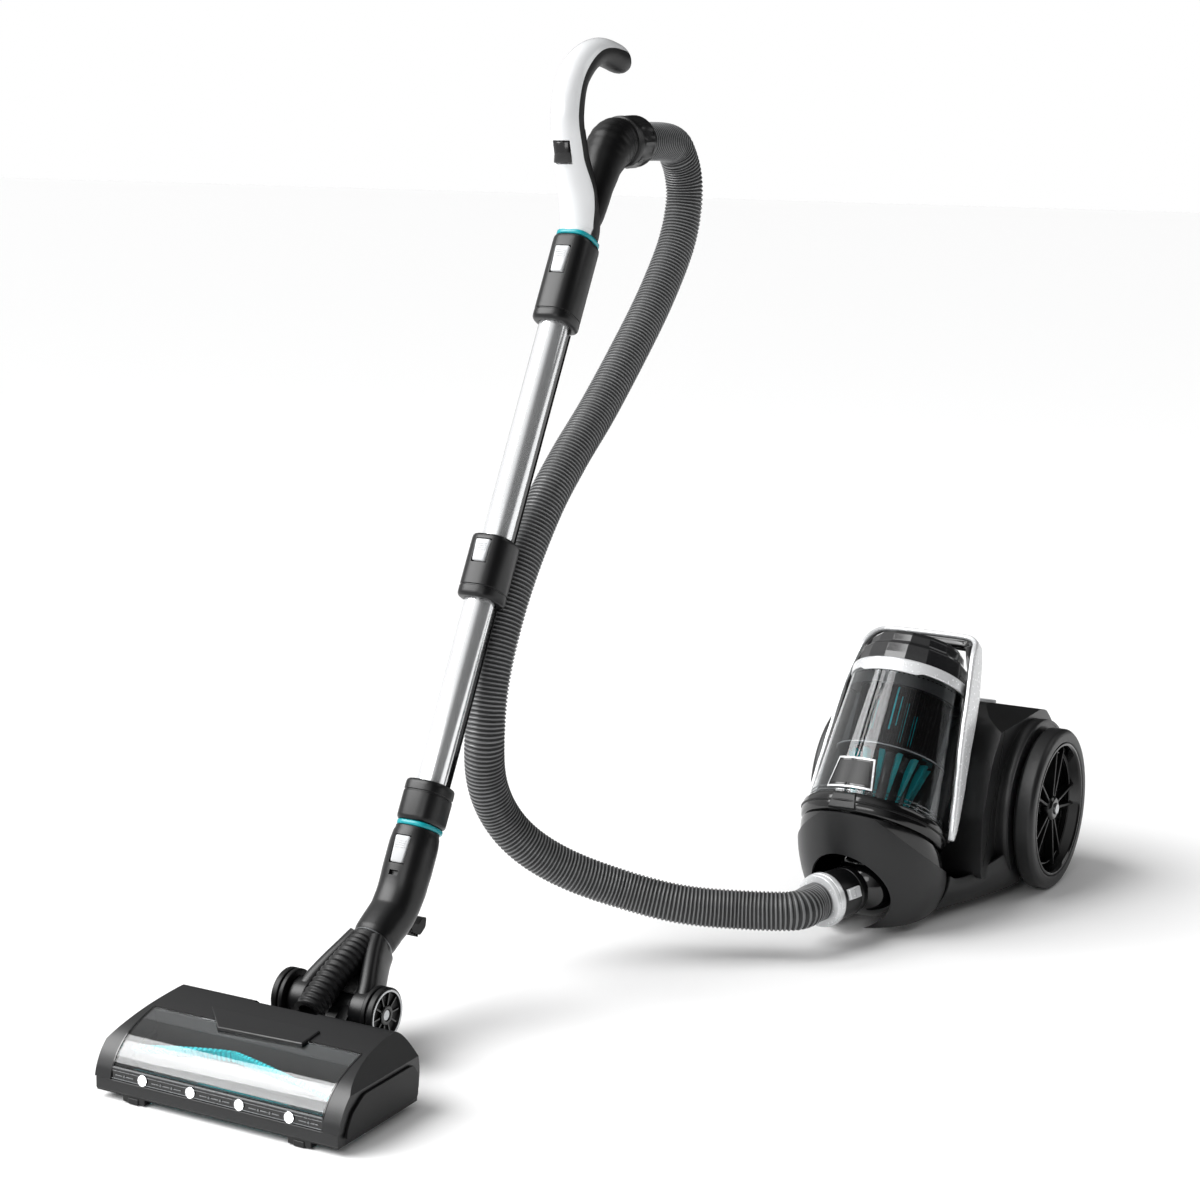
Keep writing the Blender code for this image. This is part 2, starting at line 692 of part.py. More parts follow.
def make_handle():
    route = [(161.9, 766.4), (166, 778), (161, 812), (147, 855), (141, 897), (157, 937), (203, 959),
             (270, 946)]
    last = 19
    tail_start = 9              # the grip begins at this point of the path
    path = smooth_curve(route, last + 1)
    wide = (20.5, 20.5, 19.0, 17.5, 17.0, 17.0, 16.0, 13.0)
    deep = (21.5, 21.5, 21.0, 20.0, 20.0, 18.5, 16.5, 15.0)
    line = (0.05, 0.05, 0.05, 0.05, 0.05, 0.05, 0.15, 0.50)

    def shell_section(share):
        return oval_slice(blend(wide, share), blend(deep, share), blend(line, share), True)

    shell = add("handle_shell", loft(swept(path, shell_section)), "white_plastic", HEAD)

    def grip_section(share):
        share = (tail_start + (last - tail_start) * share) / last
        level = blend(line, share) - 0.04
        return oval_slice(blend(wide, share), blend(deep, share), level, False)

    tail = path[tail_start:]
    add("handle_grip", loft(swept(tail, grip_section)), "rubber", HEAD)

    ring_low = UPPER_TUBE[1] + 1.0
    duct_start = [WAND @ Vector((0, 0, s)) for s in (ring_low, 700, 724)]
    duct = [Vector((p.y, p.z)) for p in duct_start]
    elbow = ((184, 790), (198, 813), (210, 833), (221, 848), (233, 859), (243, 863), (248.8, 863))
    duct += [Vector(p) for p in elbow]
    outer_r = (16.0, 16.0, 16.0, 18.0, 19.0, 21.0, 24.0, 26.5, 27.0, 26.0)
    outer = swept(duct, lambda s: oval(blend(outer_r, s), blend(outer_r, s), COARSE))
    inner = swept(duct, lambda s: oval(blend(outer_r, s) - 3.0, blend(outer_r, s) - 3.0, COARSE))
    cutter = swept(duct, lambda s: oval(blend(outer_r, s) + GAP, blend(outer_r, s) + GAP, COARSE))
    add("cuff_elbow", sleeve(outer, inner), "black_plastic", HEAD)
    cut(shell, add("tool", loft(cutter), frame=HEAD))
    recess = box((-10.4, 10.4), (100, 135.4), (843.6, 868.4))
    cut(shell, add("tool", recess, frame=HEAD))
    switch = box((-10, 10), (126.5, 132.5), (844, 868))
    add("handle_switch", switch, "black_plastic", HEAD, (0, 129, 856))
    add("handle_ring", sleeve([collar_loop(z, -1.5) for z in HANDLE_RING],
                              [circle(SOCKET_BORE_R, z) for z in HANDLE_RING]), "teal_plastic", WAND)
    cuff = [(27, 0.4), (29, 4), (28.5, CUFF_LENGTH - 3), (26.5, CUFF_LENGTH), (17.5, CUFF_LENGTH), (17.5, 0.4)]
    add("hose_cuff", turned(cuff), "black_plastic", CUFF)


def make_hose():
    """One tube from the cuff at the handle to the silver ring at the canister."""
    straight = 7.0
    cuff_end = CUFF_LENGTH + GAP
    ring_end = RING_SPAN[1] + GAP
    start, start_turn = [CUFF @ Vector((0, 0, cuff_end + z)) for z in (0, straight)]
    end, end_turn, approach = [INLET @ Vector((0, 0, ring_end + z)) for z in (0, straight, 42.0)]
    route = [start_turn] + [Vector(p) for p in HOSE_ROUTE] + [approach, end_turn]
    spots = [start] + smooth_curve(route, 72) + [end]
    curve = bpy.data.curves.new("hose", "CURVE")
    curve.dimensions = "3D"
    curve.bevel_depth = HOSE_R * MM
    curve.bevel_resolution = 2
    curve.use_fill_caps = True
    line = curve.splines.new("POLY")
    line.points.add(len(spots) - 1)
    for point, spot in zip(line.points, spots):
        point.co = (*(spot * MM), 1.0)
    curve.materials.append(material("hose_plastic"))
    hose = bpy.data.objects.new("hose", curve)
    bpy.context.collection.objects.link(hose)
    return hose


# Floor head --------------------------------------------------------------------------------------

def make_yoke():
    pivot_y, pivot_z = PIVOT
    path = [Vector(p) for p in ((-243.7, 96.6), (-256, 89.3), (-276, 75), PIVOT)]
    across = (22.0, 24.0, 35.0, 45.0)
    depth = (22.0, 22.0, 20.0, 17.0)
    yoke = add("yoke", loft(swept(path, lambda s: oval(blend(across, s), blend(depth, s), 20))),
               "charcoal_plastic", HEAD)
    join(yoke, add("tool", rod(21, -45, 45), frame=sideways(0, *PIVOT, HEAD)))
    bore = [Vector(p) for p in ((-225, 110), (-262, 98), (-300, 84), (-360, 54))]
    wedge = [(-14, -258), (14, -258), (29.4, -288), (29.4, -360), (-29.4, -360), (-29.4, -288)]
    cut(
        yoke,
        add("tool", rod(PIVOT_PIN_R + GAP, -60, 60, COARSE), frame=sideways(0, *PIVOT, HEAD)),
        add("tool", upright(wedge, -20, 160), frame=HEAD),
        add("tool", loft(swept(bore, lambda s: oval(14, 14, COARSE))), frame=HEAD),
    )
    add("yoke_axle", rod(PIVOT_PIN_R, -59, 59, COARSE), "steel", sideways(0, *PIVOT, HEAD))
    rim = [(PIVOT_PIN_R + GAP, 45.6), (26, 45.6), (27, 47), (27, 58), (25, 60), (21, 60), (20, 55), (10, 55),
           (9, 59), (PIVOT_PIN_R + GAP, 59)]
    for side, word in ((-1, "left"), (1, "right")):
        frame = HEAD @ frame_at((0, pivot_y, pivot_z), (side, 0, 0), (0, 1, 0))
        add(f"{word}_yoke_wheel", turned(rim), "black_plastic", frame, (0, 0, 52))


def make_duct():
    """The ribbed hose that joins the neck to the head through the fork."""
    path = smooth_curve([(-262, 99), (-280, 93), (-306, 83), (-330, 71), (-350, 60)], 17)

    def section(share):
        rib = 12.4 if round(share * 16) % 2 else 10.8
        return oval(rib, rib, TINY)

    inner = swept(path, lambda s: oval(9, 9, TINY))
    add("inner_duct", sleeve(swept(path, section), inner), "rubber", HEAD)


def make_head_base():
    floor_z = 7.0
    base = add("head_base", box((-138, 138), (-498, -372.4), (floor_z, 20)), "charcoal_plastic", HEAD)
    cut(
        base,
        add("tool", box((-134, 134), (-494, -376.4), (floor_z + 3, 30)), frame=HEAD),
        add("tool", box((-116, 116), (-483, -427), (0, 30)), frame=HEAD),
    )
    tools = []
    pivot_y, pivot_z = PIVOT
    ear = [(-386, 8), (-386, 19.8), (-368, 19.8), (-364, 30), (pivot_y - 4, pivot_z + 11),
           (pivot_y + 8, pivot_z + 8), (pivot_y + 11, pivot_z), (pivot_y + 6, pivot_z - 10), (-360, 10)]
    for side in (-1, 1):
        tools.append(add("tool", extruded(ear, *sorted((side * 16.0, side * 28.6))), frame=HEAD))
        tools.append(add("tool", box(sorted((side * 84.0, side * 104.0)), (-496, -485), (0, 8)), frame=HEAD))
        tools.append(add("tool", box(sorted((side * 96.0, side * 128.0)), (-392, -380), (0, 8)), frame=HEAD))
    join(base, *tools)
    cut(base, add("tool", rod(PIVOT_PIN_R + GAP, -40, 40, COARSE), frame=sideways(0, *PIVOT, HEAD)))


def make_head_cover():
    wall = 3.0
    cover = add("head_cover", extruded(HEAD_PROFILE, -HEAD_SIDE, HEAD_SIDE), "charcoal_plastic", HEAD)
    hollow = [(y, z if z > 30 else 10) for y, z in inset(HEAD_PROFILE, wall)]
    chamfers = []
    for side in (-1, 1):
        top = [(side * 124.0, 78), (side * 150.0, 78), (side * 150.0, 45)]
        wedge = loft([[(x, y, z) for x, z in top] for y in (-520, -350)])
        chamfers.append(add("tool", wedge, frame=HEAD))
    inside = add("tool", extruded(hollow, -HEAD_SIDE + 7, HEAD_SIDE - 7), frame=HEAD)
    for side in (-1, 1):
        top = [(side * 120.0, 78), (side * 146.0, 78), (side * 146.0, 40), (side * 143.0, 40)]
        cut(inside, add("tool", loft([[(x, y, z) for x, z in top] for y in (-520, -350)]), frame=HEAD))
    cut(
        cover,
        inside,
        add("tool", box((-127, 127), (-520, -428), (10, 90)), frame=HEAD),
        *chamfers,
    )
    mouth = HEAD @ frame_at((0, PIVOT[0], 80), (0, -0.88, -0.47))
    cut(cover, add("tool", rod(15, 40, 90, COARSE), frame=mouth))
    return cover


def make_window():
    outer = [(y, z) for y, z in HEAD_PROFILE if -495 < y < -428] + [(-496, 33)]
    outer = [(-428.6, 71.3)] + outer
    inner = [(y + 2.0 * (0.3 + 0.5 * k / len(outer)), z - 2.2) for k, (y, z) in enumerate(outer)]
    inner[-1] = (-493.6, 33)
    add("head_window", extruded(outer + inner[::-1], -126.6, 126.6), "clear_plastic", HEAD)
    strip = add("led_strip", box((-126.6, 126.6), (-497.6, -489), (20.6, 32.6)), "silver_plastic", HEAD)
    lamps = []
    for k in range(4):
        seat = HEAD @ frame_at((-84 + 56 * k, -497, 26), (0, -1, 0))
        lamps.append(add("tool", rod(4, -3, 1.6, TINY), frame=seat))
    join(strip, *lamps)


def make_side_covers():
    low, high = SIDE_COVER
    outline = [(-377, 13), (-375, 36), (-383, 47), (-462, 47), (-480, 36), (-489, 22), (-490, 13)]
    for side, word in ((-1, "left"), (1, "right")):
        shape = extruded(outline, *sorted((side * low, side * high)))
        add(f"{word}_side_cover", shape, "black_plastic", HEAD)


def make_brush():
    """A roll with two chevron rows of bristles, its pulley at the left end."""
    frame = sideways(0, *BRUSH, HEAD)
    half = 114.0
    loops = [circle(7, -127, TINY), circle(7, -116.5, TINY)]
    steps = 16
    for i in range(steps + 1):
        x = -half + 2 * half * i / steps
        twist = 1.9 * (1 - abs(x) / half)
        loop = []
        for k in range(TINY):
            lobe = k % 6 == 0
            radius = 23.0 if lobe else 15.0
            a = 2 * math.pi * k / TINY + twist
            loop.append((radius * math.cos(a), radius * math.sin(a), x))
        loops.append(loop)
    loops += [circle(7, 116.5, TINY), circle(7, 127, TINY)]
    add("brush_roll", loft(loops), "teal_plastic", frame)
    motor_frame = sideways(0, *BRUSH_MOTOR, HEAD)
    motor = [(0, -126), (6, -126), (6, -118), (3, -118), (3, -110), (15, -110), (17, -106), (17, -48),
             (12, -44), (0, -44)]
    add("brush_motor", turned(motor, COARSE), "steel", motor_frame)
    start = Vector(BRUSH)
    end = Vector(BRUSH_MOTOR)
    along = (end - start).normalized()
    outer, inner = [], []
    for centre, radius, turn in ((start, 7.0, math.pi / 2), (end, 6.0, -math.pi / 2)):
        for i in range(9):
            a = turn + math.pi * i / 8
            ray = along * math.cos(a) + Vector((-along.y, along.x)) * math.sin(a)
            outer.append(centre + ray * (radius + 2.2))
            inner.append(centre + ray * (radius + 0.6))
    loops = [[[(x, p.x, p.y) for p in loop] for x in (-125, -119)] for loop in (outer, inner)]
    add("drive_belt", sleeve(*loops), "rubber", HEAD)


def centre_machine():
    """Moves the machine so that its box, the hose apart, stands centred on the origin."""
    bpy.context.view_layer.update()
    corners = []
    for item in bpy.data.objects:
        if item.name != "hose":
            corners += [item.matrix_world @ Vector(c) for c in item.bound_box]
    low = [min(c[i] for c in corners) for i in range(3)]
    high = [max(c[i] for c in corners) for i in range(3)]
    machine = bpy.data.objects.new("machine", None)
    bpy.context.collection.objects.link(machine)
    for item in list(bpy.data.objects):
        if item is not machine:
            item.parent = machine
    machine.location = (-(low[0] + high[0]) / 2, -(low[1] + high[1]) / 2, -low[2])
    bpy.context.view_layer.update()


def build():
    clear_scene()
    make_chassis()
    make_caster()
    make_cowl()
    make_inlet()
    make_rear_body()
    make_pedals()
    make_wheels()
    make_inside()
    make_bin()
    make_cyclone()
    make_carry_handle()
    make_wand()
    make_neck()
    make_handle()
    make_yoke()
    make_duct()
    make_head_base()
    make_head_cover()
    make_window()
    make_side_covers()
    make_brush()
    make_hose()
    centre_machine()


build()
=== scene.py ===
"""Looks of the canister vacuum cleaner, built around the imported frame.

Lengths are the part's own millimetres, unless a name or comment says otherwise; raw() turns them into the
row frame's metres.
"""

import json
import math

import bmesh
import bpy
from mathutils import Matrix, Vector

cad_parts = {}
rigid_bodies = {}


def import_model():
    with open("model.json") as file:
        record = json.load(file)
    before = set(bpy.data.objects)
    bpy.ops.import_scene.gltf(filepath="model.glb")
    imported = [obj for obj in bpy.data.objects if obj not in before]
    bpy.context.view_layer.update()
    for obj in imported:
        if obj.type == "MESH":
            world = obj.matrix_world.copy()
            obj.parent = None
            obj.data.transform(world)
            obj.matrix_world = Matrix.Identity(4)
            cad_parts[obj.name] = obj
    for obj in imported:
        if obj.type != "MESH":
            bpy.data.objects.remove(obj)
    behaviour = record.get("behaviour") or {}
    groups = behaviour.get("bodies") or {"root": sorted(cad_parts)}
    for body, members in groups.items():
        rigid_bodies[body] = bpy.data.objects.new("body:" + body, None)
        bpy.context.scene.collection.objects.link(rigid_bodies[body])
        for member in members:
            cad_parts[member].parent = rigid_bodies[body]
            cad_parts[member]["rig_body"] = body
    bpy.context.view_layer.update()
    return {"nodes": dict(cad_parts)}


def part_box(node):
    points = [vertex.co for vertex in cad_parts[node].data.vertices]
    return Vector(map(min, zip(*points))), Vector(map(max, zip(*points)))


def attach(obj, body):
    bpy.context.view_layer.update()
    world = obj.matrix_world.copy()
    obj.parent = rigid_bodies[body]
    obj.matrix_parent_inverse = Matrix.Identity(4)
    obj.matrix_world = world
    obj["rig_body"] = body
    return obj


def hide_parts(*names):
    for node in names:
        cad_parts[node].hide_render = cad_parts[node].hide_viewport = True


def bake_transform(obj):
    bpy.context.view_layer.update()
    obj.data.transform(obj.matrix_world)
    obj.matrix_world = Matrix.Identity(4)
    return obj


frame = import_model()

MM = 0.001
IDENTITY = Matrix.Identity(4)
HIGH = 96               # sides of large round pieces, then of smaller ones
MID = 64
LOW = 32
TINY_SIDES = 12

# The part's frames, in its own millimetres, and the shift of its origin in the row frame
AXLE_CENTRE = Vector((-120.0, -306.0, 53.0))
SHIFT = (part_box("yoke_axle")[0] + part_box("yoke_axle")[1]) / 2 - AXLE_CENTRE * MM


def frame_at(origin, z_axis=(0, 0, 1), x_axis=(1, 0, 0)):
    """A frame by its origin, its Z axis and roughly its X axis."""
    z = Vector(z_axis).normalized()
    y = z.cross(Vector(x_axis)).normalized()
    x = y.cross(z)
    return Matrix.Translation(Vector(origin)) @ Matrix((x, y, z)).transposed().to_4x4()


def leaning(origin, angle):
    """A frame whose Z axis leans back from upright."""
    return frame_at(origin, (0, math.sin(angle), math.cos(angle)))


WAND_X = -120.0
CANISTER_X = 169.0
HEAD = Matrix.Translation((WAND_X, 0, 0))
CANISTER = Matrix.Translation((CANISTER_X, 0, 0))
WAND = leaning((WAND_X, -190.0, 137.0), math.radians(29.2))
BIN = leaning((CANISTER_X, 320.0, 112.0), math.radians(34.0))
INLET = frame_at((CANISTER_X + 9.0, 293.0, 55.0), (-22.0, -86.0, -1.0))
CUFF = frame_at((WAND_X, 250.0, 863.0), (0, 1, 0))


def sideways(x, y, z, base=CANISTER):
    """A frame whose Z axis runs to the right, for axles and wheels."""
    return base @ frame_at((x, y, z), (1, 0, 0), (0, 1, 0))


# Camera ------------------------------------------------------------------------------------------

def linked(name, data):
    """A new object in the scene."""
    made = bpy.data.objects.new(name, data)
    bpy.context.scene.collection.objects.link(made)
    return made


def make_camera():
    data = bpy.data.cameras.new("camera")
    data.lens = 76.4
    data.sensor_width = 36.0
    data.clip_start = 0.05
    data.clip_end = 60.0
    camera = linked("camera", data)
    camera.location = Vector((1.265, -2.2089, 0.9488)) + SHIFT
    camera.rotation_euler = (math.radians(78.07), 0.0, math.radians(29.80))
    bpy.context.scene.camera = camera


make_camera()


# Materials ---------------------------------------------------------------------------------------

def shader_of(material):
    return material.node_tree.nodes["Principled BSDF"]


LOOK = {}


def new_material(name, colour, roughness, **sockets):
    """A material by its name in LOOK, with its shader's sockets set."""
    made = bpy.data.materials.new(name)
    LOOK[name] = made
    made.use_nodes = True
    shader = shader_of(made)
    shader.inputs["Base Color"].default_value = (*colour, 1.0)
    shader.inputs["Roughness"].default_value = roughness
    for socket, value in sockets.items():
        shader.inputs[socket.replace("_", " ")].default_value = value
    return made


def add_node(material, kind, **values):
    node = material.node_tree.nodes.new(kind)
    for key, value in values.items():
        if key in node.inputs:
            node.inputs[key].default_value = value
        else:
            setattr(node, key, value)
    return node


def noise(material, scale, detail=2.0, stretch=(1, 1, 1)):
    """A noise texture in object space, whose units are metres."""
    links = material.node_tree.links
    coordinates = add_node(material, "ShaderNodeTexCoord")
    mapping = add_node(material, "ShaderNodeMapping", Scale=stretch)
    texture = add_node(material, "ShaderNodeTexNoise", Scale=scale, Detail=detail)
    links.new(coordinates.outputs["Object"], mapping.inputs["Vector"])
    links.new(mapping.outputs["Vector"], texture.inputs["Vector"])
    return texture.outputs["Fac"]


def vary_gloss(material, value, low, high):
    """Lets a texture swing the roughness from low to high."""
    node = add_node(material, "ShaderNodeMapRange")
    node.inputs["To Min"].default_value = low
    node.inputs["To Max"].default_value = high
    material.node_tree.links.new(value, node.inputs["Value"])
    material.node_tree.links.new(node.outputs["Result"], shader_of(material).inputs["Roughness"])


def tint(material, value, colour, dim, bright):
    """Lets a texture swing the colour between two strengths of it."""
    ramp = add_node(material, "ShaderNodeValToRGB")
    for end, position, strength in zip(ramp.color_ramp.elements, (0.3, 0.7), (dim, bright)):
        end.position = position
        end.color = (*[min(1.0, c * strength) for c in colour], 1)
    material.node_tree.links.new(value, ramp.inputs["Fac"])
    material.node_tree.links.new(ramp.outputs["Color"], shader_of(material).inputs["Base Color"])


def bump(material, height, strength, distance):
    node = add_node(material, "ShaderNodeBump", Strength=strength, Distance=distance)
    material.node_tree.links.new(height, node.inputs["Height"])
    material.node_tree.links.new(node.outputs["Normal"], shader_of(material).inputs["Normal"])


GLOSS_SWING = 0.05


def moulded(name, colour, roughness, grain=1400.0, depth=0.12, **sockets):
    """Moulded plastic: fine spark-eroded grain, with slow changes of gloss and colour."""
    made = new_material(name, colour, roughness, **sockets)
    slow = noise(made, 18.0, 3.0)
    fine = noise(made, grain, 3.0)
    tint(made, slow, colour, 0.90, 1.10)
    vary_gloss(made, slow, roughness - GLOSS_SWING, roughness + GLOSS_SWING)
    bump(made, fine, depth, 0.0004)


def polished(name, colour, roughness, stretch=(1, 1, 1), **sockets):
    """A smooth finish with faint polishing marks."""
    made = new_material(name, colour, roughness, **sockets)
    marks = noise(made, 260.0, 4.0, stretch)
    vary_gloss(made, marks, roughness * 0.7, roughness * 1.4)
    slow = noise(made, 9.0, 2.0)
    tint(made, slow, colour, 0.95, 1.04)


def clear(name, colour, roughness, **sockets):
    """Clear plastic: light passes through it, and its face stays glossy."""
    made = new_material(name, colour, roughness, Transmission_Weight=1.0, IOR=1.46, **sockets)
    marks = noise(made, 40.0, 3.0)
    vary_gloss(made, marks, roughness * 0.6, roughness * 1.6)


def glowing(name, grey, strength):
    made = new_material(name, (0.9, 0.9, 0.9), 0.3, Emission_Strength=strength)
    shader_of(made).inputs["Emission Color"].default_value = (1.0, 1.0, 1.0, 1.0)
    tint(made, noise(made, 300.0, 1.0), (1.0, 1.0, 1.0), *grey)


moulded("charcoal", (0.0045, 0.0046, 0.0049), 0.33, Specular_IOR_Level=0.34)
moulded("satin", (0.0075, 0.0077, 0.0082), 0.35, Specular_IOR_Level=0.42)
polished("graphite", (0.16, 0.165, 0.17), 0.28, Metallic=0.6)
polished("gloss", (0.002, 0.002, 0.0022), 0.12, Coat_Weight=0.2, Coat_Roughness=0.05)
moulded("black", (0.0022, 0.0022, 0.0024), 0.40, Specular_IOR_Level=0.26)
polished("white", (0.80, 0.81, 0.82), 0.20, Coat_Weight=0.4, Coat_Roughness=0.08)
polished("silver", (0.78, 0.79, 0.80), 0.24, Metallic=0.30)
moulded("grey_button", (0.56, 0.57, 0.58), 0.33)
moulded("teal", (0.0, 0.30, 0.34), 0.30)
# The bristles glow a little: painted light, so that they stay bright inside the shaded head.
moulded("bristle_painted_glow", (0.0, 0.60, 0.66), 0.50, grain=2600.0, depth=0.3, Emission_Strength=0.22,
         Emission_Color=(0.0, 0.60, 0.66, 1.0))
moulded("hose", (0.165, 0.167, 0.170), 0.34)
polished("chrome", (0.93, 0.94, 0.95), 0.17, (6, 6, 0.4), Metallic=0.82)
moulded("rubber", (0.004, 0.004, 0.0044), 0.45, Specular_IOR_Level=0.30, grain=900.0, depth=0.25)
polished("steel", (0.50, 0.51, 0.52), 0.28, Metallic=1.0)
clear("clear", (0.56, 0.58, 0.59), 0.03)
clear("window", (0.93, 0.95, 0.96), 0.02, Specular_IOR_Level=0.18)
clear("smoke", (0.62, 0.63, 0.64), 0.10)
moulded("foam", (0.22, 0.22, 0.23), 0.9, grain=500.0, depth=0.6)
moulded("tyre", (0.008, 0.0082, 0.0087), 0.40, Specular_IOR_Level=0.42, grain=1100.0, depth=0.2)
polished("facet", (0.010, 0.0102, 0.011), 0.16, Coat_Weight=0.5, Coat_Roughness=0.06)
polished("smoke_solid", (0.012, 0.012, 0.013), 0.14, Coat_Weight=0.4)
clear("frost", (0.62, 0.63, 0.64), 0.45)
polished("bright_teal", (0.0, 0.66, 0.72), 0.22, Coat_Weight=0.3)
# Darker colour for the hose's grooves: painted shade in the creases.
moulded("hose_groove_shade", (0.014, 0.0145, 0.015), 0.55)
glowing("lamp", (0.8, 0.95), 14.0)

SLOTS = {
    "charcoal_plastic": "charcoal", "black_plastic": "black", "white_plastic": "white",
    "silver_plastic": "silver", "grey_plastic": "grey_button", "teal_plastic": "teal",
    "hose_plastic": "hose", "chrome": "chrome", "rubber": "rubber", "steel": "steel",
    "clear_plastic": "clear", "filter_foam": "foam",
}


def dress_nodes():
    for node in frame["nodes"].values():
        for slot in node.material_slots:
            base = slot.material.name.split(".")[0] if slot.material else "black_plastic"
            slot.material = LOOK[SLOTS.get(base, "black")]


dress_nodes()


# Shapes ------------------------------------------------------------------------------------------

SIDES = ((-1, "left"), (1, "right"))


def bridge(count, first, second):
    return [(first + i, first + (i + 1) % count, second + (i + 1) % count, second + i) for i in range(count)]


def loft(loops):
    """Points and faces of a solid through loops of equal count, closed at both ends."""
    count = len(loops[0])
    faces = [tuple(range(count))]
    for i in range(len(loops) - 1):
        faces += bridge(count, i * count, (i + 1) * count)
    faces.append(tuple(range((len(loops) - 1) * count, len(loops) * count)))
    return [p for loop in loops for p in loop], faces


def sleeve(outer, inner):
    """A hollow solid between outer loops and as many inner ones."""
    count = len(outer[0])
    loops = list(outer) + list(reversed(inner))
    faces = []
    for i in range(len(loops)):
        faces += bridge(count, i * count, ((i + 1) % len(loops)) * count)
    return [p for loop in loops for p in loop], faces


def turns(sides):
    return [2 * math.pi * i / sides for i in range(sides)]


def circle(radius, z, sides=MID):
    return [(radius * math.cos(a), radius * math.sin(a), z) for a in turns(sides)]


def rounded(outline, radius, steps=3):
    """A closed outline with its corners rounded; corners on the axis of a turned shape stay."""
    made = []
    for i, point in enumerate(outline):
        here = Vector(point)
        if point[0] == 0:
            made.append(tuple(point))
            continue
        before = Vector(outline[i - 1]) - here
        after = Vector(outline[(i + 1) % len(outline)]) - here
        reach = min(radius, before.length * 0.45, after.length * 0.45)
        first = here + before.normalized() * reach
        second = here + after.normalized() * reach
        for k in range(steps + 1):
            t = k / steps
            made.append(tuple(first * (1 - t) ** 2 + here * 2 * t * (1 - t) + second * t * t))
    return made


def turned(profile, sides=MID):
    """Turns a closed (radius, z) outline about local Z; points with no radius close on the axis."""
    points = []
    rows = []
    for radius, z in profile:
        if radius == 0:
            rows.append([len(points)] * sides)
            points.append((0, 0, z))
        else:
            rows.append(list(range(len(points), len(points) + sides)))
            points += circle(radius, z, sides)
    faces = []
    for i, row in enumerate(rows):
        following = rows[(i + 1) % len(rows)]
        for k in range(sides):
            n = (k + 1) % sides
            corners = list(dict.fromkeys((row[k], row[n], following[n], following[k])))
            if len(corners) > 2:
                faces.append(tuple(corners))
    return points, faces


def lathe(outline, radius, sides=MID, steps=3):
    """A closed (radius, z) outline with rounded corners, turned about local Z."""
    return turned(rounded(outline, radius, steps), sides)


def tube(outer, inner, low, high, sides=MID):
    return turned([(outer, low), (outer, high), (inner, high), (inner, low)], sides)


def band(radii, heights, soft, sides=MID):
    """A ring of rectangular section with rounded edges."""
    (inner, outer), (low, high) = radii, heights
    return lathe([(inner, low), (outer, low), (outer, high), (inner, high)], soft, sides)


def rod(radius, low, high, sides=MID):
    return turned([(0, low), (radius, low), (radius, high), (0, high)], sides)


def box(x, y, z):
    return loft([[(x[0], y[0], h), (x[1], y[0], h), (x[1], y[1], h), (x[0], y[1], h)] for h in z])


def drawn_back(outline, low, high):
    """An outline of (x, z) points drawn out along Y."""
    return loft([[(x, y, z) for x, z in outline] for y in (low, high)])


def extruded(outline, low, high):
    """An outline of (y, z) points drawn out along X."""
    return loft([[(x, y, z) for y, z in outline] for x in (low, high)])


def smooth_curve(points, count):
    knots = [Vector(p) for p in points]
    knots = [2 * knots[0] - knots[1]] + knots + [2 * knots[-1] - knots[-2]]
    spans = len(points) - 1
    found = []
    for i in range(count):
        place = spans * i / (count - 1)
        span = min(int(place), spans - 1)
        t = place - span
        a, b, c, d = knots[span:span + 4]
        found.append(0.5 * (2 * b + (c - a) * t + (2 * a - 5 * b + 4 * c - d) * t * t
                            + (3 * b - a - 3 * c + d) * t ** 3))
    return found


def heading(path, i):
    """The direction of a path at one of its points."""
    return (path[min(i + 1, len(path) - 1)] - path[max(i - 1, 0)]).normalized()


def offset(line, distance):
    """A (y, z) line moved sideways, with points of its own."""
    moved_line = []
    for i, here in enumerate(line):
        along = heading(line, i)
        moved_line.append(tuple(here + Vector((along.y, -along.x)) * distance))
    return moved_line


def swept(path, section):
    """Loops along a (y, z) path; section(share) gives (across, outwards) points, outwards to the left."""
    loops = []
    for i, here in enumerate(path):
        along = heading(path, i)
        left = Vector((-along.y, along.x))
        share = i / (len(path) - 1)
        loops.append([(across, *(here + left * outwards)) for across, outwards in section(share)])
    return loops


def oval(across, outwards, sides=48, powers=(1, 1)):
    """An ellipse, or with powers under 1 a squarer shape."""
    loop = []
    for a in turns(sides):
        x, y = math.cos(a), math.sin(a)
        loop.append((math.copysign(abs(x) ** powers[0], x) * across,
                     math.copysign(abs(y) ** powers[1], y) * outwards))
    return loop


def reading(values, share):
    """Reads a list of evenly spaced values at a share from 0 to 1, with smooth steps between them."""
    place = share * (len(values) - 1)
    step = min(int(place), len(values) - 2)
    t = place - step
    return values[step] + (values[step + 1] - values[step]) * t * t * (3 - 2 * t)


# Pieces ------------------------------------------------------------------------------------------

def raw(name, shape, base=IDENTITY):
    """A mesh object in the row frame, from a shape in a part frame."""
    points, faces = shape
    mesh = bpy.data.meshes.new(name)
    mesh.from_pydata([(base @ Vector(p)) * MM + SHIFT for p in points], [], faces)
    tidy = bmesh.new()
    tidy.from_mesh(mesh)
    bmesh.ops.recalc_face_normals(tidy, faces=tidy.faces)
    if tidy.calc_volume(signed=True) < 0:
        bmesh.ops.reverse_faces(tidy, faces=tidy.faces)
    tidy.to_mesh(mesh)
    tidy.free()
    return linked(name, mesh)


def tool(shape, base=IDENTITY):
    return raw("tool", shape, base)


def combine(target, others, operation):
    for other in others:
        bpy.context.view_layer.update()
        step = target.modifiers.new("step", "BOOLEAN")
        step.operation = operation
        step.object = other
        step.solver = "EXACT"
        graph = bpy.context.evaluated_depsgraph_get()
        result = bpy.data.meshes.new_from_object(target.evaluated_get(graph))
        target.modifiers.remove(step)
        target.data = result
        bpy.data.objects.remove(other)
    return target


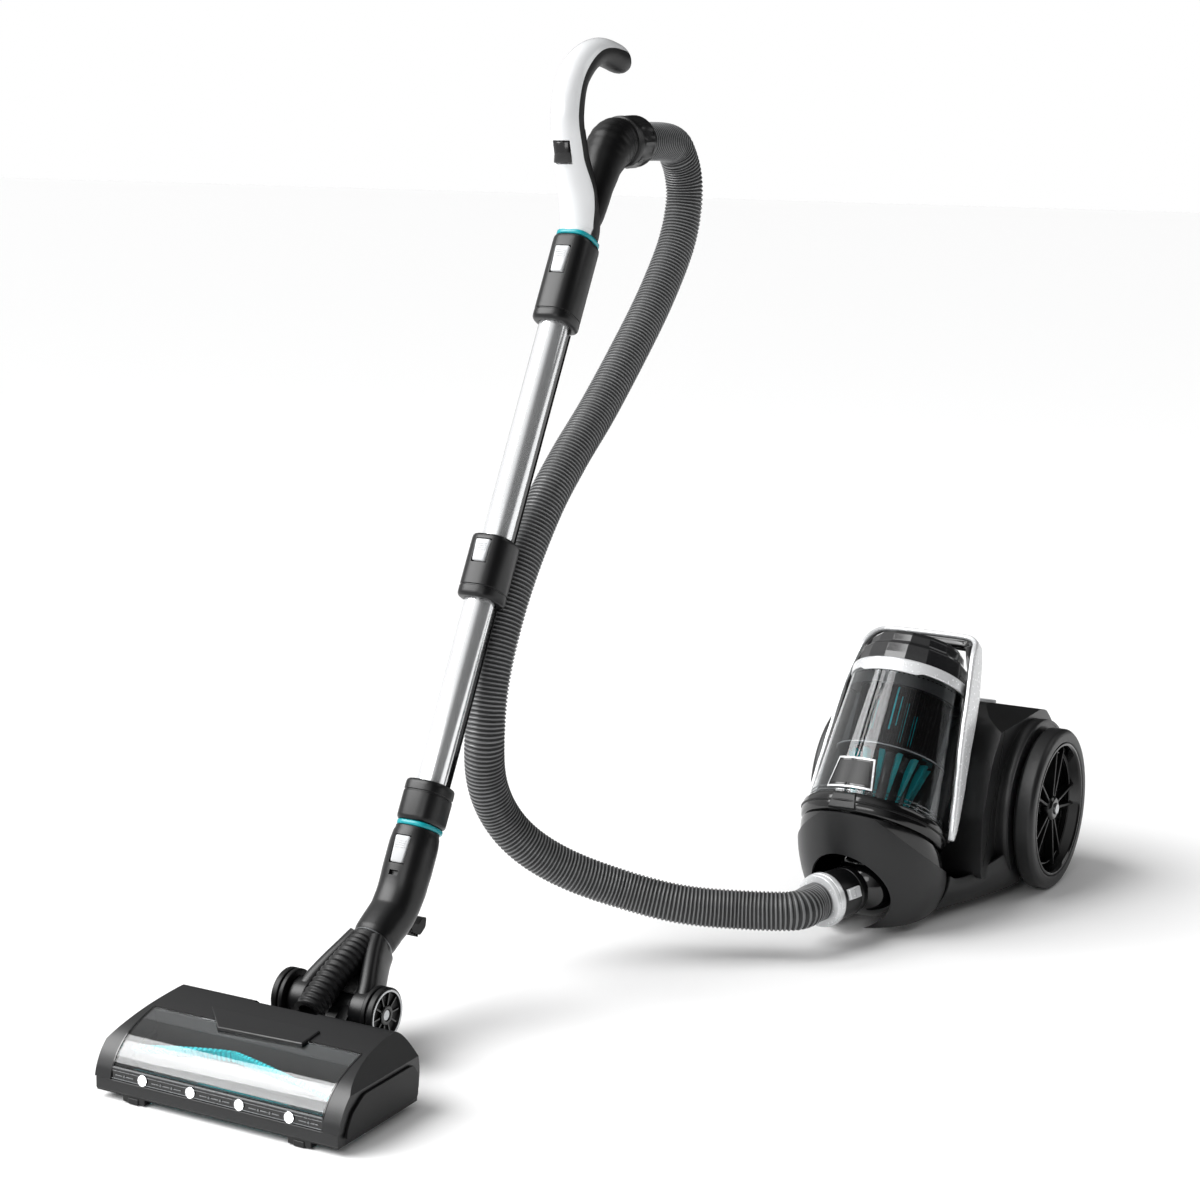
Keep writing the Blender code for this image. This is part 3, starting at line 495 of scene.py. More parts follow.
def cut(target, *tools):
    return combine(target, tools, "DIFFERENCE")


def finish_piece(item, look, body, hides=(), bevel=0.0, angle=35.0, segments=2):
    """Gives a mesh its material, soft edges and body, and hides the CAD nodes that it stands for."""
    weld = bmesh.new()
    weld.from_mesh(item.data)
    bmesh.ops.remove_doubles(weld, verts=weld.verts, dist=0.00001)
    bmesh.ops.dissolve_degenerate(weld, edges=weld.edges, dist=0.00001)
    weld.to_mesh(item.data)
    weld.free()
    item.data.materials.clear()
    item.data.materials.append(LOOK[look])
    item.data.shade_smooth()
    item.data.set_sharp_from_angle(angle=math.radians(angle))
    if bevel:
        soften = item.modifiers.new("edges", "BEVEL")
        soften.width = bevel * MM
        soften.segments = segments
        soften.limit_method = "ANGLE"
        soften.angle_limit = math.radians(angle)
        soften.harden_normals = True
    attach(item, body)
    if hides:
        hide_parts(*hides)
    return item


def piece(name, shape, look, body, base=IDENTITY, hides=(), bevel=0.0, angle=35.0, segments=2):
    return finish_piece(raw(name, shape, base), look, body, hides, bevel, angle, segments)


# Pieces that ride the three largest bodies, drawn in that part's own frame
def head_piece(name, shape, look, *rest, **more):
    return piece(name, shape, look, "head", HEAD, *rest, **more)


def bin_piece(name, shape, look, *rest, **more):
    return piece(name, shape, look, "dust_bin", BIN, *rest, **more)


def canister_piece(name, shape, look, *rest, **more):
    return piece(name, shape, look, "canister", CANISTER, *rest, **more)


def many(shapes):
    """Several separate shapes as one."""
    points, faces = [], []
    for more_points, more_faces in shapes:
        start = len(points)
        points += [tuple(p) for p in more_points]
        faces += [tuple(i + start for i in face) for face in more_faces]
    return points, faces


def moved(shape, base):
    points, faces = shape
    return [tuple(base @ Vector(p)) for p in points], faces


def spun(shape, count, start=0.0):
    """Copies of a shape turned about local Z."""
    step = 2 * math.pi / count
    return many([moved(shape, Matrix.Rotation(start + step * k, 4, "Z")) for k in range(count)])


# Hose --------------------------------------------------------------------------------------------

HOSE_R = 21.5
HOSE_PITCH = 4.4
HOSE_ROUTE = (
    (-120, 366, 859), (-120, 390, 842), (-120, 403, 815), (-120, 402, 784), (-120, 386, 746),
    (-120, 350, 702), (-120, 300, 654), (-120, 210, 579), (-120, 140, 528), (-120, 82, 478),
    (-120, 22, 404), (-120, -18, 328), (-120, -33, 262), (-124, -24, 208), (-119, -4, 164),
    (-100, 18, 129), (-68, 48, 99), (-22, 82, 75), (34, 108, 60), (88, 136, 54),
)


def hose_line():
    start, start_turn = [CUFF @ Vector((0, 0, z)) for z in (38.4, 45.4)]
    end, end_turn, approach = [INLET @ Vector((0, 0, z)) for z in (90.4, 97.4, 132.4)]
    route = [start_turn] + [Vector(p) for p in HOSE_ROUTE] + [approach, end_turn]
    return [start] + smooth_curve(route, 400) + [end]


def even(points, step):
    """Points every step along a line, with its ends kept."""
    lengths = [0.0]
    for before, here in zip(points, points[1:]):
        lengths.append(lengths[-1] + (here - before).length)
    count = max(2, round(lengths[-1] / step))
    made, k = [], 0
    for i in range(count + 1):
        place = lengths[-1] * i / count
        while k < len(lengths) - 2 and lengths[k + 1] < place:
            k += 1
        span = lengths[k + 1] - lengths[k]
        t = (place - lengths[k]) / span if span else 0.0
        made.append(points[k].lerp(points[k + 1], t))
    return made, lengths[-1]


def tube_loops(line, radius_at, sides):
    """Loops of a tube along a line, carried along it without twist."""
    loops = []
    side = Vector((1, 0, 0))
    for i, here in enumerate(line):
        along = heading(line, i)
        side = (side - along * side.dot(along)).normalized()
        other = along.cross(side)
        radius = radius_at(i)
        loops.append([tuple(here + side * u + other * v) for u, v in oval(radius, radius, sides)])
    return loops


def make_hose():
    rows = 5
    ridge = (0.0, -0.55, -1.75, -1.75, -0.55)
    line, length = even(hose_line(), HOSE_PITCH / rows)
    loops = tube_loops(line, lambda i: HOSE_R + ridge[i % rows], 28)
    hose = piece("corrugated_hose", loft(loops), "hose", "canister", hides=("hose",), angle=60)
    # The faces of the groove rows take the darker material: painted shade in the grooves.
    hose.data.materials.append(LOOK["hose_groove_shade"])
    for face in hose.data.polygons:
        face.material_index = int(len(face.vertices) == 4 and (face.index - 1) // 28 % rows in (1, 2, 3))


make_hose()


# Handle ------------------------------------------------------------------------------------------

TIP_BEGINS = 0.94        # share of the sweep where the rounded end starts

def half_oval(across, outwards, level, upper, sides=22):
    start = math.asin(level)
    if upper:
        first, sweep = start, math.pi - 2 * start
    else:
        first, sweep = math.pi - start, math.pi + 2 * start
    angles = [first + sweep * i / sides for i in range(sides + 1)]
    return [(across * math.cos(a), outwards * math.sin(a)) for a in angles]


def tip_scale(share):
    """Shrinks the last part of a sweep into a rounded end."""
    if share < TIP_BEGINS:
        return 1.0
    t = (share - TIP_BEGINS) / (1 - TIP_BEGINS)
    return max(0.12, math.sqrt(max(0.0, 1 - t * t)))


def make_handle():
    route = [(161.9, 766.4), (166, 778), (161, 812), (147, 855), (141, 897), (157, 937), (203, 959),
             (270, 946)]
    path = smooth_curve(route, 91)
    tail_start = 43
    wide = (20.5, 20.5, 19.5, 17.5, 17.0, 17.0, 16.0, 13.5)
    deep = (21.5, 21.5, 21.0, 20.0, 20.0, 18.0, 15.2, 16.0)
    line = (0.28, 0.26, -0.08, 0.16, 0.24, 0.24, 0.30, 0.62)

    def shell_section(share):
        size = tip_scale(share)
        across, outwards = reading(wide, share) * size, reading(deep, share) * size
        return half_oval(across, outwards, reading(line, share), True)

    def grip_section(part):
        share = (tail_start + (90 - tail_start) * part) / 90
        size = tip_scale(share)
        across, outwards = reading(wide, share) * size * 0.985, reading(deep, share) * size * 0.985
        return half_oval(across, outwards, reading(line, share) - 0.03, False)

    shell = raw("handle_cover", loft(swept(path, shell_section)), HEAD)
    duct = [WAND @ Vector((0, 0, s)) for s in (667.0, 700.0, 724.0)]
    spine = [Vector((p.y, p.z)) for p in duct]
    elbow_route = ((184, 790), (198, 813), (210, 833), (221, 848), (233, 859), (243, 863), (248.8, 863))
    spine += [Vector(p) for p in elbow_route]
    radii = (16.0, 16.0, 16.0, 18.0, 19.0, 21.0, 24.0, 26.5, 27.0, 26.0)
    fine = smooth_curve(spine, 81)

    def duct_section(share, grow=0.0):
        fold = max(0.0, math.sin(math.pi * min(1.0, max(0.0, (share - 0.62) / 0.34))))
        ripple = 0.45 * fold * math.sin(share * 120)
        radius = reading(radii, share) + grow + ripple
        return oval(radius, radius)

    elbow = sleeve(swept(fine, duct_section), swept(fine, lambda s: duct_section(s, -3.0)))
    piece("handle_elbow", elbow, "black", "canister", HEAD, ("cuff_elbow",), angle=60)
    recess = tool(box((-10.4, 10.4), (90, 135.4), (843.6, 868.4)), HEAD)
    cut(shell, tool(loft(swept(fine, lambda s: duct_section(s, 1.2))), HEAD), recess)
    finish_piece(shell, "white", "canister", ("handle_shell",), 0.5, 40)
    grip = loft(swept(path[tail_start:], grip_section))
    rear = (27.0, 26.5, 25.5, 23.0, 20.0, 18.5, 16.5, 17.5)

    def spine_section(part):
        share = (tail_start + 2) / 90 * part
        across = reading(wide, share) * 0.985
        return half_oval(across, reading(rear, share), reading(line, share) - 0.03, False)

    spine_cover = loft(swept(path[:tail_start + 3], spine_section))
    piece("handle_spine", spine_cover, "black", "canister", HEAD, angle=50)
    piece("handle_soft_grip", grip, "rubber", "canister", HEAD, ("handle_grip",), 0.4, 50)

    face = []
    for x in (-10, -8.5, -5, 0, 5, 8.5, 10):
        front = 126.2 + 2.6 * (x / 10.0) ** 2 + (0.7 if abs(x) == 10 else 0.0)
        face.append([(x, front, 844.6), (x, front - 0.7, 846), (x, front + 0.5, 856), (x, front - 0.7, 866),
                     (x, front, 867.4), (x, 132.5, 867.4), (x, 132.5, 844.6)])
    piece("handle_rocker", loft(face), "gloss", "handle_switch", HEAD, ("handle_switch",), 0.6)


def flats(radius, z, count, sides):
    """A circle with evenly spaced shallow flats."""
    loop = []
    for a in turns(sides):
        off = (a % (2 * math.pi / count)) - math.pi / count
        r = radius * math.cos(math.pi / count) / math.cos(off)
        loop.append((r * math.cos(a), r * math.sin(a), z))
    return loop


def make_cuff():
    sides = 96
    rows = [(25.5, 0.6), (28.0, 1.8), (28.6, 4.0), (28.6, 8.0)]
    outer = [circle(r, z, sides) for r, z in rows]
    outer += [circle(27.9, 8.8, sides), circle(27.9, 10.0, sides)]
    outer += [flats(29.4, z, 9, sides) for z in (11.0, 20.0, 30.0)]
    outer += [circle(r, z, sides) for r, z in ((28.6, 31.5), (28.6, 34.5), (27.6, 37.0), (24.5, 38.0))]
    count = len(outer)
    inner = [circle(17.5, 0.6 + 37.4 * i / (count - 1), sides) for i in range(count)]
    piece("hose_swivel_cuff", sleeve(outer, inner), "charcoal", "hose_cuff", CUFF, ("hose_cuff",), angle=25)
    trim = band((22.3, 24.4), (38.2, 39.6), 0.6)
    piece("hose_cuff_trim", trim, "black", "hose_cuff", CUFF)


make_handle()
make_cuff()


# Wand --------------------------------------------------------------------------------------------

def collar_loop(z, grow):
    section = oval(22.0 + grow, 1.0, MID, (0.62, 0.78))
    return [(x, y * ((28.5 if y > 0 else 23.0) + grow), z) for x, y in section]


def make_collar(name, low, high, groove=None):
    steps = [(low, -2.6), (low + 0.8, -1.2), (low + 2.4, -0.3), (low + 5.0, 0.0)]
    if groove:
        steps += [(groove - 1.0, 0.0), (groove - 0.6, -0.8), (groove + 0.6, -0.8), (groove + 1.0, 0.0)]
    steps += [(high - 5.0, 0.0), (high - 2.4, -0.3), (high - 0.8, -1.2), (high, -2.6)]
    outer = [collar_loop(z, g) for z, g in steps]
    inner = [circle(16.5, z) for z, _ in steps]
    return raw(name, sleeve(outer, inner), WAND)


def make_latch(name, body, host, low, high):
    """A light button with grip ribs in a shallow pocket cut into its host."""
    half = 8.5
    cut(host, tool(box((-half - 0.5, half + 0.5), (-60, -16.55), (low - 0.9, high + 0.9)), WAND))
    outline = rounded([(-half + 1.5, low), (half - 1.5, low), (half, high), (-half, high)], 2.2, 4)
    loops = []
    for y, shrink in ((-18.7, 0.0), (-23.6, 0.0), (-24.4, 0.5), (-24.8, 1.4)):
        middle = (low + high) / 2
        narrower, shorter = 1 - shrink / half, 1 - shrink / (high - middle)
        loops.append([(x * narrower, y, middle + (z - middle) * shorter) for x, z in outline])
    piece(name + "_cap", loft(loops), "grey_button", body, WAND, (body,), angle=40)
    ribs = []
    for k in range(4):
        z = high - 5.5 - 2.2 * k
        ribs.append(box((-half + 2.6, half - 2.6), (-25.4, -24.0), (z - 0.45, z + 0.45)))
    piece(name + "_ribs", many(ribs), "grey_button", body, WAND, bevel=0.2)


def channel_loop(z):
    near = 16.4
    angles = [math.radians(62 + 56 * i / 8) for i in range(9)]
    loop = [(near * math.cos(a), near * math.sin(a), z) for a in angles]
    back = rounded([(-8.5, 25), (-6.5, 28), (6.5, 28), (8.5, 25)], 2.0, 3)
    return loop + [(x, y, z) for x, y in back]


def make_wand():
    for name, node, body, low, high in (
        ("wand_tube_upper", "upper_tube", "upper_wand", 341.0, 666.0),
        ("wand_tube_lower", "lower_tube", "lower_wand", 22.0, 340.0),
    ):
        profile = rounded([(16.0, low), (16.0, high), (14.8, high), (14.8, low)], 0.4)
        piece(name, turned(profile, HIGH), "chrome", body, WAND, (node,))
    for name, node, body, low, high in (
        ("wand_channel_upper", "upper_channel", "upper_wand", 374.4, 616.6),
        ("wand_channel_lower", "lower_channel", "lower_wand", 110.4, 305.6),
    ):
        loops = [channel_loop(z) for z in (low, low + 1.0, high - 1.0, high)]
        piece(name, loft(loops), "gloss", body, WAND, (node,), 0.3, 40)
        # Light silver strips along both edges of the channel: painted highlights where its edges catch the
        # light.
        lines = []
        for side in (-1, 1):
            x = 16.9 * math.sin(math.radians(29.5)) * side
            y = 16.9 * math.cos(math.radians(29.5))
            lines.append(box(sorted((x, x + side * 0.9)), (y - 0.5, y + 0.5), (low, high)))
        piece(name + "_trim", many(lines), "silver", body, WAND, bevel=0.2)
    socket = make_collar("wand_socket", 617.0, 714.6, 628.0)
    make_latch("socket_latch", "upper_latch", socket, 669, 699)
    finish_piece(socket, "charcoal", "upper_wand", ("upper_socket",), 0.3, 40)
    middle = make_collar("wand_coupling", 306.0, 374.0, 318.0)
    make_latch("coupling_latch", "mid_latch", middle, 343, 367)
    finish_piece(middle, "charcoal", "upper_wand", ("mid_collar",), 0.3, 40)
    lower = make_collar("wand_foot", 67.4, 110.0, 98.0)
    finish_piece(lower, "charcoal", "lower_wand", ("lower_collar",), 0.3, 40)
    for name, node, body, low, high in (
        ("teal_ring_lower", "lower_ring", "lower_wand", 62.0, 67.0),
        ("teal_ring_upper", "handle_ring", "canister", 715.0, 720.0),
    ):
        steps = ((low, -2.2), (low + 0.7, -1.5), (high - 0.7, -1.5), (high, -2.2))
        outer = [collar_loop(z, grow) for z, grow in steps]
        inner = [circle(16.5, low + (high - low) * i / 3) for i in range(4)]
        piece(name, sleeve(outer, inner), "teal", body, WAND, (node,), angle=50)


make_wand()


# Neck and yoke -----------------------------------------------------------------------------------

PIVOT = (-306.0, 53.0)          # y and z of the axle that carries the yoke wheels
PIVOT_AXIS = sideways(0, *PIVOT, IDENTITY)


def make_neck():
    path = smooth_curve([(-160.2, 190.6), (-171, 171), (-183, 149.5), (-193, 133), (-208, 117), (-226, 107),
                         (-243, 97)], 49)
    outer_r = (23.0, 24.5, 24.5, 24.0, 23.5, 23.0, 22.5, 22.0)
    bore_r = (16.6, 16.6, 16.6, 15.0, 14.0, 14.0, 14.0, 14.0)

    def outside(share):
        radius = reading(outer_r, share)
        if share < 0.03 or share > 0.97:
            radius -= 0.8
        return oval(radius * 0.96, radius, 64, (0.82, 0.82))

    outer = swept(path, outside)
    inner = swept(path, lambda s: oval(reading(bore_r, s), reading(bore_r, s), 64))
    neck = raw("wand_neck", sleeve(outer, inner), HEAD)
    make_latch("neck_latch", "neck_latch", neck, 22, 50)
    slot = box((-5, 5), (-27, -20), (9, 14))
    cut(neck, tool(slot, WAND))
    finish_piece(neck, "charcoal", "neck", ("neck",), 0.3, 40)
    clip = rounded([(-190, 108), (-186, 92), (-172, 84), (-162, 90), (-160, 100), (-168, 101), (-174, 97),
                    (-181, 100), (-184, 112)], 2.5, 3)
    piece("parking_clip", extruded(clip, -9, 9), "black", "neck", HEAD, bevel=0.8)
    ribs = []
    for k in range(4):
        t = k / 3
        y, z = -187.5 + 12 * t, 92.0 - 7.5 * t
        ribs.append(moved(box((-8, 8), (-0.9, 0.9), (-1.2, 1.2)), frame_at((0, y, z), (0, -0.5, -0.86))))
    piece("parking_clip_ribs", many(ribs), "black", "neck", HEAD, bevel=0.3)
    seam = [Vector(p) for p in ((-243.2, 96.9), (-244.4, 96.2))]
    band = sleeve(swept(seam, lambda s: oval(21.6, 22.0, 64)), swept(seam, lambda s: oval(15.0, 15.0, 64)))
    piece("neck_seam", band, "graphite", "neck", HEAD)


def make_yoke():
    """A ring under the neck, two arms with round ends on the pivot, and a web behind the duct."""
    pivot_y, pivot_z = PIVOT
    ring_path = smooth_curve([(-244.8, 96.0), (-250, 92.9), (-257, 88.6)], 9)
    ring = sleeve(
        swept(ring_path, lambda s: oval(22.0 + 1.0 * s, 22.0 - 0.4 * s, 64)),
        swept(ring_path, lambda s: oval(16.0, 16.4, 64)),
    )
    parts = [ring]
    for side in (-1, 1):
        line = smooth_curve([(side * 13.0, -247, 94.5), (side * 17.5, -260, 87), (side * 24.5, -276, 76.5),
                             (side * 31.5, -292, 64.5), (side * 35.6, pivot_y, pivot_z)], 31)
        loops = []
        for i, here in enumerate(line):
            t = i / 30
            along = heading(line, i)
            across = Vector((1, 0, 0))
            across = (across - along * across.dot(along)).normalized()
            up = across.cross(along)
            section = oval(8.6 + 0.8 * t, 21.5 - 2.5 * t, 28, (0.75, 0.6))
            loops.append([tuple(here + across * u + up * v) for u, v in section])
        parts.append(loft(loops))
        ends = sorted((side * 26.4, side * 45.0))
        barrel = lathe([(5.4, ends[0]), (20.6, ends[0]), (20.6, ends[1]), (5.4, ends[1])], 2.4, steps=4)
        parts.append(moved(barrel, PIVOT_AXIS))
    parts.append(moved(rod(13.5, -27.0, 27.0, MID), PIVOT_AXIS))
    piece("fork", many(parts), "charcoal", "yoke", HEAD, ("yoke",), angle=40)
    pan = smooth_curve([(-247, 76), (-262, 65), (-276, 53), (-290, 42), (-306, 33.5)], 11)

    def pan_section(share):
        half = 20.0 + 9.0 * share
        return [(-half, -1.4), (half, -1.4), (half, 1.4), (-half, 1.4)]

    floor = swept(pan, pan_section)
    piece("fork_web", loft(floor), "black", "yoke", HEAD, bevel=0.4)
    hood = smooth_curve([(-250, 108), (-256, 105.5), (-262, 103)], 7)
    arch = []
    for i, here in enumerate(hood):
        loop = []
        for radius in (21.6, 17.0):
            angles = [math.radians(28 + 124 * k / 16) for k in range(17)]
            row = [(radius * math.cos(a), here.x - 6 * (1 - math.sin(a)),
                    here.y - 17.0 + (radius - 2) * math.sin(a)) for a in angles]
            loop += row if radius > 20 else row[::-1]
        arch.append(loop)
    piece("fork_brow", loft(arch), "charcoal", "yoke", HEAD, bevel=0.6)


def make_duct():
    ribs = 15
    rows = 6
    line = smooth_curve([(-256, 101), (-280, 93.5), (-306, 84), (-330, 72), (-352, 60)], ribs * rows + 1)
    ridge = (0.0, -0.5, -1.9, -2.3, -1.9, -0.5)

    def section(share):
        radius = 15.2 + ridge[round(share * ribs * rows) % rows]
        return oval(radius, radius, 40)

    inner = swept(line, lambda s: oval(10, 10, 40))
    duct = piece("ribbed_duct", sleeve(swept(line, section), inner), "rubber", "yoke", HEAD, ("inner_duct",),
                 angle=60)
    duct.parent = None
    del duct["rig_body"]
    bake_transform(duct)


def make_yoke_wheels():
    tread = rounded([(9.5, 45.8), (26, 45.8), (27, 46.6), (27, 50.6), (24.6, 51.2), (24.6, 52.4), (27, 53.0),
                     (27, 58.8), (25.6, 60), (22.6, 60), (22.0, 56.4), (9.5, 56.4)], 0.7, 3)
    for side, word in SIDES:
        base = HEAD @ frame_at((0, *PIVOT), (side, 0, 0), (0, 1, 0))
        node = f"{word}_yoke_wheel"
        piece(f"{word}_pivot_tread", turned(tread), "black", node, base, (node,), angle=40)
        spokes = [spun(box((8, 22.6), (-0.9, 0.9), (56.0, 58.6)), 10)]
        spokes.append(lathe([(5.6, 55), (9.8, 55), (9.8, 59.4), (8.6, 60), (5.6, 60)], 0.6))
        piece(f"{word}_pivot_spokes", many(spokes), "gloss", node, base, bevel=0.25)
        ring = band((22.8, 25.0), (59.2, 60.2), 0.3)
        piece(f"{word}_pivot_rim", ring, "steel", node, base)


make_neck()
make_yoke()
make_duct()
make_yoke_wheels()


# Floor head --------------------------------------------------------------------------------------

SIDE = 139.6                    # half the width of the head's cover
LAMP_PITCH = 56.0
STRIP_HALF = 116.0              # how far out the marks between the lamps go
TOP_LINE = ((-372, 20.4), (-370, 40), (-374, 62), (-381, 74), (-392, 76.2), (-425, 72.6), (-450, 66.5),
            (-472, 57), (-487, 44.5), (-495.4, 31), (-499, 20.4))


def slab(line, x_low, x_high, top, bottom):
    """A sheet along a (y, z) line between two offsets from it, outwards to the left of its direction."""
    return extruded(offset(line, top) + offset(line, bottom)[::-1], x_low, x_high)


def make_head_cover():
    cover = raw("head_hood", extruded(smooth_curve(TOP_LINE, 64), -SIDE, SIDE), HEAD)
    inner = tool(extruded(offset(smooth_curve(TOP_LINE, 48), -3.4), -SIDE + 9, SIDE - 9), HEAD)
    tools = []
    for side in (-1, 1):
        top = [(side * 120.0, 82), (side * 160.0, 82), (side * 160.0, 30), (side * 149.0, 36)]
        lower = [(x - side * 5.5, z) for x, z in top]
        tools.append(tool(drawn_back(top, -520, -350), HEAD))
        cut(inner, tool(drawn_back(lower, -520, -350), HEAD))
    mouth = HEAD @ frame_at((0, PIVOT[0], 80), (0, -0.88, -0.47))
    cut(
        cover,
        inner,
        tool(box((-120.8, 120.8), (-520, -434), (10, 90)), HEAD),
        tool(loft([[(x, y, z) for x, y in ((-36, -388), (36, -388), (42, -340), (-42, -340))]
                          for z in (58, 95)]), HEAD),
        tool(rod(17, 40, 96, LOW), mouth),
        *tools,
    )
    finish_piece(cover, "satin", "head", ("head_cover",), 1.0, 32, 3)
    well = many([
        box((-36, 36), (-391, -388.4), (50, 73)),
        box((-36, -17.5), (-388, -372), (55, 58)), box((17.5, 36), (-388, -372), (55, 58)),
    ])
    head_piece("duct_well", well, "black", bevel=0.5)
    collar = band((15.6, 18.6), (62, 68), 1.0)
    piece("duct_collar", collar, "black", "head", mouth)
    tab = []
    for z_rise, shrink in ((-1.0, 0.0), (2.2, 0.0), (3.0, 0.9)):
        loop = []
        for x, y in ((-64 + shrink, -417 - shrink), (62 - shrink, -417 - shrink),
                     (60 - shrink, -443 + shrink), (-34 + shrink, -447 + shrink)):
            height = 73.2 - 0.16 * (-418 - y)
            loop.append((x, y, height + z_rise))
        tab.append(loop)
    head_piece("window_latch", loft(tab), "satin", bevel=0.8)
    head_piece("latch_gap", box((-58, 20), (-417.8, -415.4), (71, 73.9)), "gloss")
    lines = [box((-120, -62), (-434.6, -433.2), (70.2, 71.6)),
             box((62, 120), (-434.6, -433.2), (70.2, 71.6))]
    head_piece("window_seam", many(lines), "gloss")


def make_window():
    line = [p for p in smooth_curve(TOP_LINE, 160) if -495.2 < p.x < -433.5 and p.y > 30]
    head_piece("clear_window", slab(line, -120.4, 120.4, 0.0, -2.0), "window", ("head_window",), angle=50)
    upper = [p for p in line if p.x > -452]
    head_piece("window_tint", slab(upper, -120.0, 120.0, -2.3, -2.9), "smoke", angle=50)
    for side, word in SIDES:
        ends = sorted((side * 119.4, side * 121.0))
        head_piece(f"window_{word}_edge", slab(line, *ends, 0.5, -3.0), "gloss", angle=50)
    inner = [p for p in smooth_curve(TOP_LINE, 120) if -494 < p.x < -436 and p.y > 34]
    for side, word in SIDES:
        ends = sorted((side * 120.0, side * 121.0))
        head_piece(f"chamber_wall_{word}", slab(inner, *ends, -4.0, -22.0), "black")
    head_piece("chamber_back", box((-120, 120), (-431, -428.6), (22, 66)), "satin", bevel=0.4)


def make_lamp_strip():
    section = rounded([(-497.0, 20.8), (-489, 20.8), (-489, 32.4), (-495.2, 32.4)], 0.6)
    head_piece("lamp_strip", extruded(section, -120.4, 120.4), "gloss", ("led_strip",), angle=40)
    lean = frame_at((0, -497.0, 20.8), (0, 1.8, 11.6), (1, 0, 0))
    bars = [box((-120, 120), (-0.7, 0.1), (z, z + t)) for z, t in ((0.2, 0.8), (10.2, 1.0), (7.6, 0.5))]
    dashes = []
    for k in range(5):
        middle = LAMP_PITCH * (k - 2)
        for shift in (-13, 0, 13):
            if abs(middle + shift) < STRIP_HALF:
                dashes.append(box((middle + shift - 4.2, middle + shift + 4.2), (-0.8, 0.1), (3.6, 4.5)))
        for shift in (-6.5, 6.5):
            if abs(middle + shift) < STRIP_HALF:
                dashes.append(moved(rod(1.2, -0.1, 0.9, TINY_SIDES),
                                    frame_at((middle + shift, 0, 4.05), (0, -1, 0))))
    piece("lamp_trim", many(bars + dashes), "graphite", "head", HEAD @ lean, bevel=0.15)
    for k in range(4):
        seat = HEAD @ lean @ frame_at((LAMP_PITCH * (k - 1.5), 0, 4.6), (0, -1, 0))
        cup = lathe([(1.8, 0.1), (4.4, 0.1), (5.4, 1.1), (4.9, 1.3), (4.2, 0.7), (1.8, 0.4)], 0.2, LOW)
        piece(f"lamp_cup_{k + 1}", cup, "chrome", "head", seat)
        dome = turned([(0, 0.2), (4.2, 0.2), (3.8, 0.8), (2.7, 1.15), (1.3, 1.3), (0, 1.35)], LOW)
        piece(f"lamp_{k + 1}", dome, "lamp", "head", seat, angle=60)


def make_head_base():
    base = frame["nodes"]["head_base"]
    edges = base.modifiers.new("edges", "BEVEL")
    edges.width = 0.0008
    edges.segments = 2
    edges.limit_method = "ANGLE"
    bumper = rounded([(-498.8, 8.6), (-496.2, 7.2), (-488, 7.2), (-488, 20.2), (-498.4, 20.2)], 1.2, 3)
    head_piece("head_bumper", extruded(bumper, -138.6, 138.6), "satin", bevel=0.5)
    for side, word in SIDES:
        middle = side * 95.0
        foot = [box((middle - 13, middle + 13), (-497.6, -486), (0.8, 7.8)),
                box((middle - 6, middle + 6), (-498.7, -486), (0.0, 6.0))]
        head_piece(f"{word}_skid", many(foot), "charcoal", bevel=0.9)


def make_side_covers():
    outline = [(-377, 13), (-375, 36), (-383, 47), (-462, 47), (-480, 36), (-489, 22), (-490, 13)]
    for side, word in SIDES:
        node = f"{word}_side_cover"
        ends = sorted((side * 139.8, side * 142.4))
        head_piece(f"{word}_cheek", extruded(rounded(outline, 5, 4), *ends), "black", (node,), 0.5, 40)


def make_brush():
    base = sideways(0, -455.0, 31.0, HEAD)
    half = 114.0
    ends = ((1.3, 1.7, 13.2), (1.9, 2.1, 23.2))
    tuft = loft([[(-x, -y, z), (x, -y, z), (x, y, z), (-x, y, z)] for x, y, z in ends])
    core = rounded([(0, -127), (6.8, -127), (6.8, -116), (13.5, -115), (14.2, -112), (14.2, 112),
                    (13.5, 115), (6.8, 116), (6.8, 127), (0, 127)], 0.8)
    piece("brush_core", turned(core, MID), "gloss", "brush", base, ("brush_roll",))
    tufts = []
    count = 46
    for row in range(2):
        for i in range(count):
            x = -half + 2 * half * (i + 0.5) / count
            twist = 1.62 + 1.0 * abs(x + 8) / half + row * math.pi
            ray = Vector((math.cos(twist), math.sin(twist), 0))
            place = frame_at((0, 0, x), ray, (0, 0, 1))
            tufts.append(moved(tuft, place))
    # The bristles' material glows: painted light.
    piece("brush_bristles", many(tufts), "bristle_painted_glow", "brush", base)


make_head_cover()
make_window()
make_lamp_strip()
make_head_base()
make_side_covers()
make_brush()


# Canister ----------------------------------------------------------------------------------------

WHEEL_Y = 542.0
WHEEL_R = 94.0
WHEEL_SPAN = (116.0, 140.0)     # inner and outer face, from the middle of the canister
DECK = leaning((CANISTER_X, 547.5, 210.0), math.atan2(28.0, 105.0))
SASH = (27.9, 249.7, 144.0)     # where the slanting rim crosses the front, on the right


def cowl_loops(shrink=0.0, count=33, sides=120):
    """Loops from the rim under the bin down to an oval on the floor side, bulging between them."""
    loops = []
    for i in range(count):
        t = i / (count - 1)
        bulge = 9.0 * math.sin(math.pi * t) ** 0.8 - shrink
        loop = []
        for a in turns(sides):
            rim = CANISTER.inverted() @ BIN @ Vector((81.5 * math.cos(a), 81.5 * math.sin(a), -14.2))
            foot = Vector((64.0 * math.cos(a), 335.0 + 78.0 * math.sin(a), 12.6))
            outwards = Vector((math.cos(a), math.sin(a), 0))
            loop.append(tuple(rim.lerp(foot, t) + outwards * bulge))
        loops.append(loop)
    return loops


